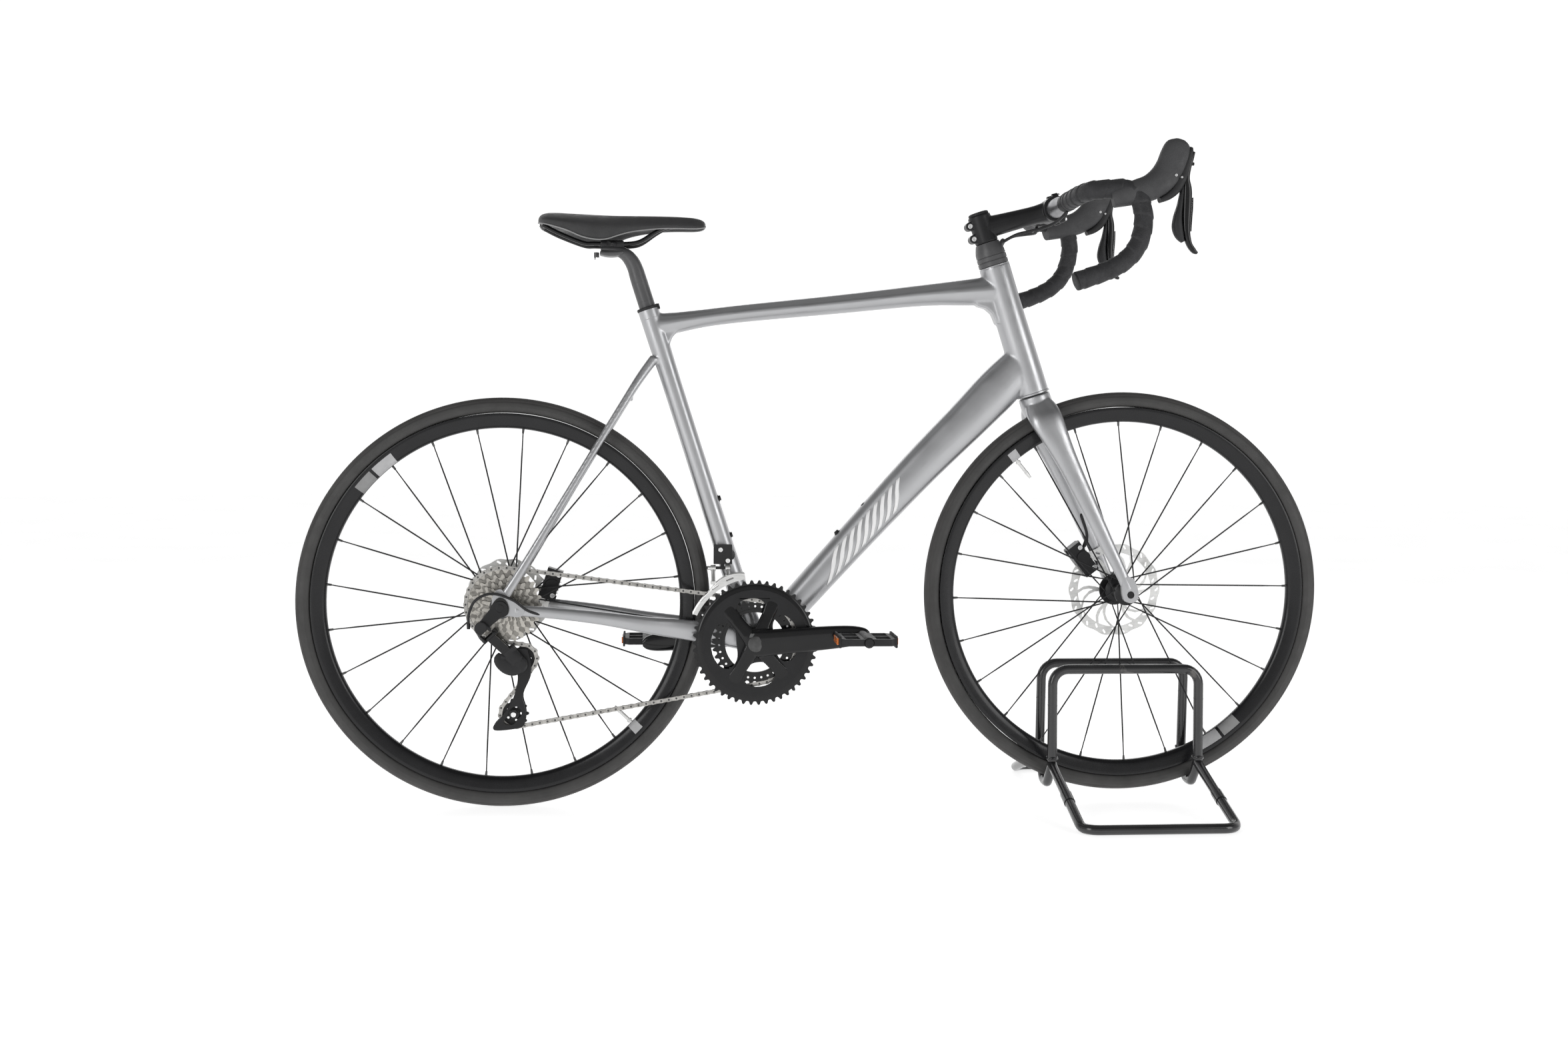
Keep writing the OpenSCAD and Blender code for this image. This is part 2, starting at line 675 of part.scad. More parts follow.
// Four bottle bolts, on the seat tube and the down tube.
down_a = bb + [10, 0, 8];
down_b = crown + 48 * head_dir;
down_dir = unit(down_b - down_a);
down_up = [-down_dir[2], 0, down_dir[0]];
module bolts_and_collar() {
    for (d = [178, 242]) {
        p = bb + d * seat_dir;
        f = [sin(seat_angle), 0, cos(seat_angle)];
        rod(p + seat_r * f, p + (seat_r + 4) * f, 4.2, 4.2);
    }
    for (d = [212, 276]) {
        p = down_a + d * down_dir;
        r = 24 + 7 * d / norm(down_b - down_a);
        rod(p + r * down_up, p + (r + 4) * down_up, 4.2, 4.2);
    }
    on_seat_tube() ring(17, post_r + 0.4, 0, 3);
}
module frame_fittings() color("#17171a") {
    bearings();
    bolts_and_collar();
}

hanger_y = -rear_half - 8;
b_bolt = [rear_x - 30, 0, rear_z - 31];
module derailleur_hanger() color("#2c2c2e") difference() {
    hull() {
        on_axle(rear_x, rear_z, hanger_y) cylinder(h = 6, r = 12);
        on_axle(b_bolt[0], b_bolt[2], hanger_y) cylinder(h = 6, r = 8);
    }
    on_axle(rear_x, rear_z) translate([0, 0, 60]) cylinder(h = 60, r = 6);
}

module rear_thru_axle() color("#222222") on_axle(rear_x, rear_z) {
    translate([0, 0, -rear_half - 8])
        cylinder(h = 2 * rear_half + 8 + 14, r = 6);
    translate([0, 0, -rear_half - 11.5]) cylinder(h = 3.5, r = 9);
}

// ---------- seat ----------
clamp_c = seat_top + [-62, 0, 98];
rail_y = 22;
module seatpost() color("#3a3a3d") {
    rod(seat_top - 110 * seat_dir, seat_top + 60 * seat_dir, post_r, post_r);
    neck = [[0, 0, 0], [-4, 0, 12], [-13, 0, 23], [-27, 0, 30], [-44, 0, 31]];
    sweep([for (q = smooth(neck, 3)) seat_top + 56 * seat_dir + q], 12.5, 12);
    translate(clamp_c + [-17, -14, -7]) cube([40, 28, 9]);
}

rail_pts = [[-108, 30, 34], [-84, 27, 22], [-44, 22, 7], [-26, 22, 6],
    [0, 22, 6], [30, 22, 6.5], [50, 21, 11], [74, 15, 27], [92, 9, 36],
    [116, 7, 40]];
module saddle_rails() color("#1b1b1d") {
    for (s = [-1, 1])
        sweep([for (q = smooth(rail_pts, 2)) clamp_c + mirrored(q, s)],
            3.5, 8);
    translate(clamp_c + [-14, -28, 2.2]) cube([36, 56, 7.5]);
    translate(clamp_c + [2, 0, 9.7]) cylinder(h = 4, r = 5);
}

saddle_rear = [rear_x + 57, 0, 926];
module saddle() color("#232325") intersection() {
    translate(saddle_rear + [0, 100, 0]) rotate([90, 0, 0])
        linear_extrude(200) polygon([[0, 36], [4, 46], [14, 49], [60, 46],
            [200, 47], [255, 46], [268, 41], [271, 35], [262, 30],
            [200, 30], [138, 24], [112, 18], [96, 10], [84, 16],
            [60, 26], [20, 30]]);
    translate(saddle_rear + [0, 0, -20]) linear_extrude(100)
        polygon([for (s = [1, -1]) each [for (q = (s > 0
            ? [[0, 30], [5, 58], [20, 68], [45, 72], [75, 68], [100, 54],
                [130, 36], [165, 26], [210, 21], [250, 19], [265, 14],
                [271, 6]]
            : [[271, 6], [265, 14], [250, 19], [210, 21], [165, 26],
                [130, 36], [100, 54], [75, 68], [45, 72], [20, 68],
                [5, 58], [0, 30]])) [q[0], s * q[1]]]]);
}

// ---------- cables ----------
// Two hoses run from the bar into the headset cover.
hose_pts = [[-2, 104, -14.8], [-6, 92, -22], [-12, 70, -29], [-24, 44, -34],
    [-42, 26, -38], [-64, 15, -43], [-84, 9, -54]];
// Front brake hose: out of the left blade's inner face, into the caliper.
fork_hose_pts = [[456, 43, 492], [458, 37.5, 482], [462, 35.5, 470],
    [467, 36.5, 455], [468, 38.5, 442], [462, 39.5, 427]];
module front_cables() color("#151517") {
    for (s = [-1, 1])
        sweep([for (q = smooth(hose_pts, 3)) bar_centre + mirrored(q, s)],
            2.5, 8);
    sweep(smooth(fork_hose_pts, 3), 2.5, 8);
}

// Shift housing: out under the chainstay and round to the derailleur.
loop_pts = [[150, -49, -24], [110, -58, -20], [70, -70, -13],
    [44, -82, -4], [20, -88, 14], [-12, -89, 24], [-38, -88, 14],
    [-49, -86, -8], [-50, -84, -24]];
module rear_cables() color("#151517")
    sweep([for (q = smooth(loop_pts, 3)) [rear_x, 0, rear_z] + q], 2.2, 8);

// ---------- crank set ----------
arm_y = 62;
pedal_y = 98;
right_end = bb + crank_len * [cos(crank_angle), 0, sin(crank_angle)];
left_end = bb - crank_len * [cos(crank_angle), 0, sin(crank_angle)];

module crank_arm(from, to, side) {
    difference() {
        union() {
            rod([from[0], side * arm_y, from[2]],
                [to[0], side * (arm_y + 9), to[2]], 12, 8.4);
            on_axle(to[0], to[2], side * (arm_y + 9))
                translate([0, 0, -7]) cylinder(h = 14, r = 14);
            on_axle(from[0], from[2], side * 60)
                translate([0, 0, -11]) cylinder(h = 22, r = 19);
        }
        on_axle(bb[0], bb[2]) translate([0, 0, -200])
            cylinder(h = 400, r = 12);
    }
    on_axle(to[0], to[2], side * (arm_y + 16)) mirror([0, 0, side > 0 ? 1 : 0])
        cylinder(h = 92, r = 5);
}

module crank_right() color("#141416") {
    crank_arm(bb, right_end, -1);
    on_axle(bb[0], bb[2]) {
        translate([0, 0, -70]) cylinder(h = 142, r = 12);
        for (a = [crank_angle + 32, crank_angle - 32, crank_angle + 148,
            crank_angle - 148]) rotate(a) translate([14, -7, 50])
                cube([46, 14, 6]);
    }
}
module crank_left() color("#141416") crank_arm(bb, left_end, 1);

module outer_chainring() color("#101012")
    on_axle(bb[0], bb[2], outer_ring_y) sprocket(outer_teeth, 2.2, 52);
module inner_chainring() color("#1a1a1c")
    on_axle(bb[0], bb[2], inner_ring_y) {
        sprocket(inner_teeth, 2.0, 51);
        for (a = [crank_angle + 32, crank_angle - 32, crank_angle + 148,
            crank_angle - 148]) rotate(a) translate([55, 0, 1])
                cylinder(h = 5.5, r = 4);
    }

// Platform pedal: a cage around an axle tube with reflectors fore and aft.
module pedal(c, side) color("#232326") {
    y_in = side * (pedal_y - 14);
    difference() {
        union() {
            on_axle(c[0], c[2], side * 80) mirror([0, 0, side > 0 ? 1 : 0])
                cylinder(h = 96, r = 9);
            for (x = [-46, 38]) translate([c[0] + x,
                side > 0 ? 86 : -176, c[2] - 8]) cube([8, 90, 16]);
            for (y = [86, 125, 166]) translate([c[0] - 40,
                side > 0 ? y : -y - 10, c[2] - 7]) cube([80, 10, 14]);
        }
        on_axle(c[0], c[2], side * 70) mirror([0, 0, side > 0 ? 1 : 0])
            cylinder(h = 104, r = 5 + fit);
    }
}
module pedal_right() pedal(right_end, -1);
module pedal_left() pedal(left_end, 1);

module cassette() color("#a9a49a") on_axle(rear_x, rear_z) {
    for (i = [0 : 10]) translate([0, 0, -big_cog_y + cog_step * i])
        sprocket(cog_teeth[i], 1.8, 16);
    ring(17, 10 + fit, 22, rear_half - 1.5);
}

// ---------- chain ----------
// Signed wrap radius: positive wheels turn with the cranks, negative against.
chain_wheels = [
    [[rear_x, big_cog_y, rear_z], pitch_r(cog_teeth[0])],
    [[bb[0], inner_ring_y, bb[2]], pitch_r(inner_teeth)],
    [tension, pitch_r(pulley_teeth)],
    [guide, -pitch_r(pulley_teeth)]];
// Direction of the straight run from wheel i to wheel j, in the XZ plane.
function run_angle(i, j) =
    let (a = chain_wheels[i], b = chain_wheels[j], d = b[0] - a[0])
    atan2(d[2], d[0])
        - asin((a[1] - b[1]) / norm([d[0], d[2]]));
function run_point(i, angle) =
    chain_wheels[i][0] + chain_wheels[i][1] * [-sin(angle), 0, cos(angle)];
plate_y = 2.45;
plate_t = 1;
plate_h = 7.6;
wrap_t = plate_t - 0.2;
wrap_h = plate_h - 1.2;
wrap_lap = 1.5;    // overlap of a bent length with its straight runs, deg

// Two side plates and a row of rollers along one straight run.
module chain_run(i, j, clear) {
    angle = run_angle(i, j);
    a = run_point(i, angle);
    b = run_point(j, angle);
    v = b - a;
    flat = norm([v[0], v[2]]);
    translate(a) rotate([0, -angle, 0]) rotate([0, 0, atan2(v[1], flat)]) {
        for (y = [-plate_y, plate_y])
            translate([0, y - plate_t / 2, -plate_h / 2])
                cube([norm(v), plate_t, plate_h]);
        for (x = [clear : pitch : norm(v) - clear])
            translate([x, plate_y, 0]) rotate([90, 0, 0])
                cylinder(h = 2 * plate_y, r = 3.8, $fn = 16);
    }
}

// Two side plates bent round a wheel, from one run's end to the next's start.
module chain_wrap(i, angle_in, angle_out) {
    w = chain_wheels[i];
    r = abs(w[1]);
    sweep_angle = (w[1] > 0 ? angle_in - angle_out
        : angle_out - angle_in + 720) % 360;
    wrapped = sweep_angle < 0 ? sweep_angle + 360 : sweep_angle;
    start = w[1] > 0 ? angle_out + 90 : angle_in - 90;
    on_axle(w[0][0], w[0][2], w[0][1]) rotate([0, 0, start - wrap_lap])
        for (z = [-plate_y, plate_y])
            rotate_extrude(angle = wrapped + 2 * wrap_lap)
            translate([r - wrap_h / 2, z - wrap_t / 2])
                square([wrap_h, wrap_t]);
}

module chain() color("#8d857a") {
    top = run_angle(0, 1);
    low = run_angle(1, 2);
    mid = run_angle(2, 3);
    up = run_angle(3, 0);
    chain_run(0, 1, 32);
    chain_run(1, 2, 32);
    chain_run(2, 3, 24);
    chain_run(3, 0, 60);
    chain_wrap(0, up, top);
    chain_wrap(1, top, low + 360);
    chain_wrap(2, low, mid);
    chain_wrap(3, mid, up);
}

// ---------- front derailleur ----------
fd_pivot = bb + [-54, -32, 122];
module front_derailleur() color("#232326") {
    difference() {
        union() {
            translate(fd_pivot + [-14, -2, 6.2]) cube([30, 16, 31.8]);
            rod(fd_pivot + [4, 6, 22], bb + 128 * seat_dir
                + [0, -12, 20], 9, 9);
        }
        rod(bb, seat_top, seat_r + 0.1, seat_r + 0.1);
    }
    translate(fd_pivot + [-26, 0, 0]) rotate([0, 90, 0])
        cylinder(h = 40, r = 2.5);
    translate(fd_pivot + [-3, -2.2, -2]) cube([6, 5, 10]);
}

// Cage of two curved plates that swings on the derailleur's pivot.
module front_derailleur_cage() color("#c9cacc") {
    hub = fd_pivot;
    for (x = [-19, 5]) difference() {
        translate(hub + [x, 0, 0]) rotate([0, 90, 0])
            cylinder(h = 8, r = 5.2);
        translate(hub + [x - 5, 0, 0]) rotate([0, 90, 0])
            cylinder(h = 20, r = 2.5 + fit);
    }
    for (y = [-46.6, -32.2]) intersection() {
        on_axle(bb[0], bb[2], y) ring(120, 105.5, -0.6, 0.6);
        translate([bb[0] - 108, y - 5, bb[2] + 46]) cube([86, 10, 80]);
    }
    for (x = [-19, 5]) difference() {
        translate(hub + [x, -15.3, x < 0 ? -26 : -16])
            cube([8, 15.3, x < 0 ? 22 : 12]);
        translate(hub + [x - 5, 0, 0]) rotate([0, 90, 0])
            cylinder(h = 20, r = 5.1);
    }
    translate([bb[0] - 104, -47, bb[2] + 47]) cube([6, 15, 1.5]);
}

// ---------- rear derailleur ----------
// Local frame of the linkage: x along the links, z along the pivot axes.
link_up = [b_bolt[0] + 12, -66, b_bolt[2] - 16];
link_slope = 46.8;
link_len = 43.9;
link_angle = 24.2;
link_gap = 13;
module on_links() translate(link_up) rotate([0, link_slope, 0])
    rotate([-90, 0, 0]) children();
// In this frame +x runs down the links, +y points along -Z's side of the
// pivots and +z points to the left of the bicycle.

// A pin or a bore along the pivot axis.
module link_axis(x, z, len, r) translate([x, len / 2, z])
    rotate([90, 0, 0]) cylinder(h = len, r = r, $fn = 24);
link_end = [link_len * cos(link_angle), 0, link_len * sin(link_angle)];

module rd_knuckle() color("#19191b") {
    on_axle(b_bolt[0], b_bolt[2], hanger_y - 6) cylinder(h = 9, r = 9);
    difference() {
        hull() {
            on_axle(b_bolt[0], b_bolt[2], hanger_y - 6.2)
                cylinder(h = 8, r = 10);
            on_links() translate([-9, -13.6, -10]) cube([10, 27.2, 10.5]);
        }
        translate([b_bolt[0] - 30, hanger_y - 6, b_bolt[2] - 8])
            cube([60, 20, 60]);
        on_links() translate([-11, -8.4, -30]) cube([40, 16.8, 60]);
    }
    on_links() {
        for (z = [0, link_gap]) link_axis(0, z, 24, 2);
        for (s = [-1, 1]) translate([-5, s > 0 ? 8.6 : -13, -8])
            cube([9, 4.4, link_gap + 12]);
    }
}

// One side link of the parallelogram.
module rd_link(z) on_links() translate([0, 0, z]) difference() {
    union() {
        rotate([90, 0, 0]) translate([0, 0, -8]) cylinder(h = 16, r = 4);
        translate(link_end) rotate([90, 0, 0]) translate([0, 0, -8])
            cylinder(h = 16, r = 4);
        rotate([0, -link_angle, 0]) translate([1, -7.5, -2.5])
            cube([link_len - 2, 15, 5]);
    }
    link_axis(0, 0, 60, 2 + fit);
    translate(link_end) link_axis(0, 0, 60, 2 + fit);
}
module rd_outer_link() color("#0f0f10") rd_link(0);
module rd_inner_link() color("#0f0f10") rd_link(link_gap);

cage_out = -34.5;
module rd_body() color("#1b1b1d") {
    on_links() translate(link_end) {
        for (z = [0, link_gap]) link_axis(0, z, 24, 2);
        for (s = [-1, 1]) translate([-4, s > 0 ? 8.6 : -13, -5])
            cube([10, 4.4, link_gap + 8]);
    }
    difference() {
        on_links() translate(link_end + [6, -13, 0]) cube([10, 26, 12.4]);
        rod(cage_pivot + [0, -60, 0], cage_pivot, 4.6, 4.6);
    }
    rod(cage_pivot + [0, -50, 0], cage_pivot + [0, cage_out - 0.9, 0], 13, 13);
    rod(cage_pivot + [0, cage_out - 1, 0],
        cage_pivot + [0, cage_out + 3, 0], 4.5, 4.5);
}

module cage_plate(y, t, pivot_hole) difference() {
    hull() {
        on_axle(guide[0], guide[2], y) cylinder(h = t, r = 11);
        on_axle(tension[0], tension[2], y) cylinder(h = t, r = 12);
        on_axle(cage_pivot[0], cage_pivot[2], y)
            cylinder(h = t, r = pivot_hole ? 11 : 4);
    }
    if (pivot_hole) on_axle(cage_pivot[0], cage_pivot[2], y - 5)
        translate([0, 0, -10]) cylinder(h = 30, r = 4.5 + fit);
}
module rd_cage() color("#17171a") {
    cage_plate(cage_out + 2.4, 2.4, true);
    cage_plate(big_cog_y + 7.2, 1.6, false);
    for (c = [guide, tension]) on_axle(c[0], c[2], big_cog_y + 7.2)
        cylinder(h = 14, r = 3);
}
module pulley(c) on_axle(c[0], c[2], c[1]) {
    sprocket(pulley_teeth, 2.2, 3 + fit);
    difference() {
        ring(9, 3 + fit, -4, 4);
        translate([0, 0, -5]) cylinder(h = 10, r = 3 + fit);
    }
}
module guide_pulley() color("#1d1d1f") pulley(guide);
module tension_pulley() color("#1d1d1f") pulley(tension);

// ---------- output ----------
stand_cradle_tubes();
stand_hoop_right();
stand_hoop_left();
stand_floor_loop_right();
stand_floor_loop_left();
fork();
headset_cover();
stem();
stem_faceplate();
stem_hardware();
handlebar();
bar_tape();
hood_right();
hood_left();
lever_bracket_right();
lever_bracket_left();
lever_blade_right();
lever_blade_left();
shift_paddle_right();
shift_paddle_left();
front_caliper();
front_thru_axle();
front_cables();
front_tyre();
front_rim();
front_spokes();
front_hub();
front_rotor();
main_frame();
rear_stays();
frame_fittings();
derailleur_hanger();
rear_thru_axle();
rear_caliper();
rear_cables();
chain();
front_derailleur();
front_derailleur_cage();
seatpost();
saddle_rails();
saddle();
rear_tyre();
rear_rim();
rear_spokes();
rear_hub();
rear_rotor();
cassette();
crank_right();
crank_left();
outer_chainring();
inner_chainring();
pedal_right();
pedal_left();
rd_knuckle();
rd_outer_link();
rd_inner_link();
rd_body();
rd_cage();
guide_pulley();
tension_pulley();
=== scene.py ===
"""Looks of a road bicycle held in a floor stand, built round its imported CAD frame.

Shapes are written in millimetres in the frame's own axes (+X forward, +Y to the
rider's left, +Z up) and scaled to metres when a piece is made.
"""

import bmesh
import bpy
import json
from math import asin, atan2, cos, hypot, pi, radians, sin, tau

from mathutils import Matrix, Vector
from mathutils.geometry import tessellate_polygon

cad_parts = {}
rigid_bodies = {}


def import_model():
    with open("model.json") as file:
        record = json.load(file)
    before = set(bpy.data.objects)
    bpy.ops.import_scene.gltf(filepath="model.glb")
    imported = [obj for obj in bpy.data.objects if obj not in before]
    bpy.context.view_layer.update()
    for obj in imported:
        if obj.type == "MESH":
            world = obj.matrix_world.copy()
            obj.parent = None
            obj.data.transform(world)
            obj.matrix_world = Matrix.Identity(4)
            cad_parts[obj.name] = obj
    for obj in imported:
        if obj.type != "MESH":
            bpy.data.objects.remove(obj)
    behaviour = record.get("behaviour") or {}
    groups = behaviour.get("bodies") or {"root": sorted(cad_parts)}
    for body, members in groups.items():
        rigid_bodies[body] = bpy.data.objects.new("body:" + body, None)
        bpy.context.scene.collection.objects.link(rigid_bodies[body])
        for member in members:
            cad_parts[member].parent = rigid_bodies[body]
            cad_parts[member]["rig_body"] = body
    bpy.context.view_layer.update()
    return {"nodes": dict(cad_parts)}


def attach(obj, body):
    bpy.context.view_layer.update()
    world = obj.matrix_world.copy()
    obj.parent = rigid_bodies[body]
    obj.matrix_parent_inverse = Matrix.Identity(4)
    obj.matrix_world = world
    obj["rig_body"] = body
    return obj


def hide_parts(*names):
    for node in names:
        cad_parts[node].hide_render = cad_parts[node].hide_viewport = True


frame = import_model()
MM = 0.001
V = Vector

# ---------- the main points of the bicycle, in mm ----------
WHEEL_R, TYRE_W, RIM_IN, BEAD_R, SPOKES = 338, 28, 288, 311, 24
REAR, FRONT = V((-518, 0, 338)), V((518, 0, 356))
BB = REAR + V((411, 0, -61))
HEAD_TILT, SEAT_TILT = radians(-18.2), radians(-17.94)
HEAD_UP = V((sin(HEAD_TILT), 0, cos(HEAD_TILT)))
HEAD_FWD = V((cos(HEAD_TILT), 0, -sin(HEAD_TILT)))
SEAT_UP = V((sin(SEAT_TILT), 0, cos(SEAT_TILT)))
HEAD_LEN = 226
STEM_REACH, STEM_UP = 122.4, 284
CROWN = FRONT - 44.2 * HEAD_FWD + 364 * HEAD_UP
SEAT_TOP = BB + 573 * SEAT_UP
BAR = CROWN + STEM_REACH * HEAD_FWD + STEM_UP * HEAD_UP
LEVER_Y = 213
CRANK_LEN, CRANK_ANGLE = 172.5, radians(5)
ARM = V((cos(CRANK_ANGLE), 0, sin(CRANK_ANGLE)))
OUTER_Y, INNER_Y, BIG_COG_Y, COG_STEP = -47.5, -39.9, -26, 3.95
COGS = [30, 27, 24, 21, 19, 17, 15, 14, 13, 12, 11]
GUIDE = REAR + V((32, BIG_COG_Y, -88))
TENSION = REAR + V((17, BIG_COG_Y, -179))
CAGE_PIVOT = REAR + V((25, 0, -96))
B_BOLT = REAR + V((-30, 0, -31))
LINK_UP = B_BOLT + V((12, -66, -16))
LINK_LEN, LINK_ANGLE, LINK_GAP = 43.9, radians(24.2), 13
LINK_END = V((LINK_LEN * cos(LINK_ANGLE), 0, LINK_LEN * sin(LINK_ANGLE)))
FD_PIVOT = BB + V((-54, -32, 122))
PITCH = 12.7
SPIDER = (66, 130, 240, 312)  # directions of the crank's four arms
FRONT_ROTOR_Y, REAR_ROTOR_Y = 39.5, 56


def turn(angle, axis):
    return Matrix.Rotation(angle, 4, axis)


def move(x, y=None, z=None):
    return Matrix.Translation(x if y is None else (x, y, z))


def axle(c, y=0.0):
    """Frame on a wheel's or crank's axis: local z points to the drive side."""
    return move(c[0], y, c[2]) @ turn(pi / 2, "X")


ON_STEERER = move(CROWN) @ turn(HEAD_TILT, "Y")
ON_SEAT = move(SEAT_TOP) @ turn(SEAT_TILT, "Y")
ON_LINKS = move(LINK_UP) @ turn(radians(46.8), "Y") @ turn(-pi / 2, "X")


def smooth(rows, n):
    """Catmull-Rom curve through rows of any length, n steps between rows."""
    out = []
    for i in range(len(rows) - 1):
        a, b, c, d = (rows[min(max(i + k, 0), len(rows) - 1)] for k in (-1, 0, 1, 2))
        for j in range(n):
            t = j / n
            out.append(tuple(
                0.5 * (2 * q + (r - p) * t + (2 * p - 5 * q + 4 * r - s) * t * t
                       + (3 * q - p - 3 * r + s) * t ** 3)
                for p, q, r, s in zip(a, b, c, d)))
    return out + [tuple(rows[-1])]


def bent(value, power):
    """Cosine or sine reshaped for a rounded square outline."""
    return (1 if value > 0 else -1) * abs(value) ** (2 / power)


def circle(r, n=48, c=(0, 0), a0=0.0):
    return [(c[0] + r * cos(a0 + tau * k / n), c[1] + r * sin(a0 + tau * k / n))
            for k in range(n)]


def slot_loop(c, angle, length, width, n=6):
    """Outline of a round-ended slot of that length and width, turned by angle."""
    pts = []
    for end in (1, -1):
        for k in range(n + 1):
            a = pi * k / n - pi / 2 + (0 if end > 0 else pi)
            pts.append((end * (length - width) / 2 + width / 2 * cos(a),
                        width / 2 * sin(a)))
    return [(c[0] + x * cos(angle) - y * sin(angle),
             c[1] + x * sin(angle) + y * cos(angle)) for x, y in pts]


class Shape:
    """Vertices and faces gathered from simple solids, in mm."""

    def __init__(self, at=None):
        self.co, self.faces, self.mats = [], [], []
        self.at, self.mat = at or Matrix(), 0

    def add(self, co, faces):
        base = len(self.co)
        self.co += [self.at @ V(c) for c in co]
        self.faces += [[base + i for i in f] for f in faces]
        self.mats += [self.mat] * len(faces)

    def loft(self, rings, caps=True, loop=False):
        n, m = len(rings[0]), len(rings)
        faces = [[i * n + k, i * n + (k + 1) % n,
                  (i + 1) % m * n + (k + 1) % n, (i + 1) % m * n + k]
                 for i in range(m if loop else m - 1) for k in range(n)]
        if caps and not loop:
            faces += [list(range(n))[::-1], [(m - 1) * n + k for k in range(n)]]
        self.add([p for r in rings for p in r], faces)

    def tube(self, path, size, n=16, side=(0, 1, 0), power=2.0, caps=True, loop=False,
             phase=0.0):
        """size is one radius, or (half width along side, half height) per point."""
        pts = [V(p[:3]) for p in path]
        rings, s, m = [], V(side), len(pts)
        for i, p in enumerate(pts):
            if loop:
                t = (pts[(i + 1) % m] - pts[i - 1]).normalized()
            else:
                t = (pts[min(i + 1, m - 1)] - pts[max(i - 1, 0)]).normalized()
            s = (s - t * s.dot(t)).normalized()
            u = t.cross(s)
            w, h = size[i] if isinstance(size, list) else (size, size)
            rings.append([p + s * (w * bent(cos(tau * k / n + phase), power))
                          + u * (h * bent(sin(tau * k / n + phase), power))
                          for k in range(n)])
        self.loft(rings, caps, loop)

    def rows(self, rows, steps=6, n=24, power=2.0, side=(0, 1, 0), phase=0.0):
        """A tube through rows of (x, y, z, half width, half height)."""
        r = smooth(rows, steps)
        self.tube([q[:3] for q in r], [(q[3], q[4]) for q in r], n, side, power,
                  phase=phase)

    def rod(self, a, b, r1, r2=None, n=20):
        r2 = r1 if r2 is None else r2
        d = (V(b) - V(a)).normalized()
        side = (0, 1, 0) if abs(d.y) < 0.9 else (1, 0, 0)
        self.tube([a, b], [(r1, r1), (r2, r2)], n, side)

    def ball(self, c, r, n=16):
        at = self.at
        self.at = at @ move(V(c))
        self.lathe([(r * sin(pi * k / 10), -r * cos(pi * k / 10)) for k in range(11)], n)
        self.at = at

    def lathe(self, profile, n=48, loop=False):
        """Turns (radius, z) points round local z."""
        self.loft([[(r * cos(tau * k / n), r * sin(tau * k / n), z)
                    for k in range(n)] for r, z in profile], not loop, loop)

    def ring(self, r_out, r_in, z0, z1, n=48, ease=0.0):
        e = ease
        self.lathe([(r_in, z0), (r_out - e, z0), (r_out, z0 + e), (r_out, z1 - e),
                    (r_out - e, z1), (r_in, z1)], n, True)

    def box(self, low, size):
        x, y, z = low
        a, b, c = size
        co = [(x + a * i, y + b * j, z + c * k)
              for i in (0, 1) for j in (0, 1) for k in (0, 1)]
        self.add(co, [[0, 1, 3, 2], [4, 6, 7, 5], [0, 4, 5, 1],
                      [2, 3, 7, 6], [0, 2, 6, 4], [1, 5, 7, 3]])

    def plate(self, loops, z0, z1):
        """A flat plate; the first loop is its outline and the rest are holes."""
        pts = [p for loop in loops for p in loop]
        tris = tessellate_polygon([[V((x, y, 0)) for x, y in loop] for loop in loops])
        n = len(pts)
        faces = [list(t) for t in tris] + [[i + n for i in t][::-1] for t in tris]
        base = 0
        for loop in loops:
            m = len(loop)
            faces += [[base + k, base + (k + 1) % m, base + (k + 1) % m + n, base + k + n]
                      for k in range(m)]
            base += m
        self.add([(x, y, z) for z in (z0, z1) for x, y in pts], faces)

    def bolt(self, at, r, h, socket=0.5, n=24):
        """A round cap head standing on local z, with a hexagonal socket."""
        keep = self.at
        self.at = keep @ at
        key = [socket * r / cos((tau * k / n) % (pi / 3) - pi / 6) for k in range(n)]
        rings = [[(rad * cos(tau * k / n), rad * sin(tau * k / n), z) for k in range(n)]
                 for rad, z in ((r, 0), (r, 0.75 * h), (0.86 * r, h))]
        rings += [[(key[k] * cos(tau * k / n), key[k] * sin(tau * k / n), z)
                   for k in range(n)] for z in (h, 0.35 * h)]
        self.loft(rings)
        self.at = keep


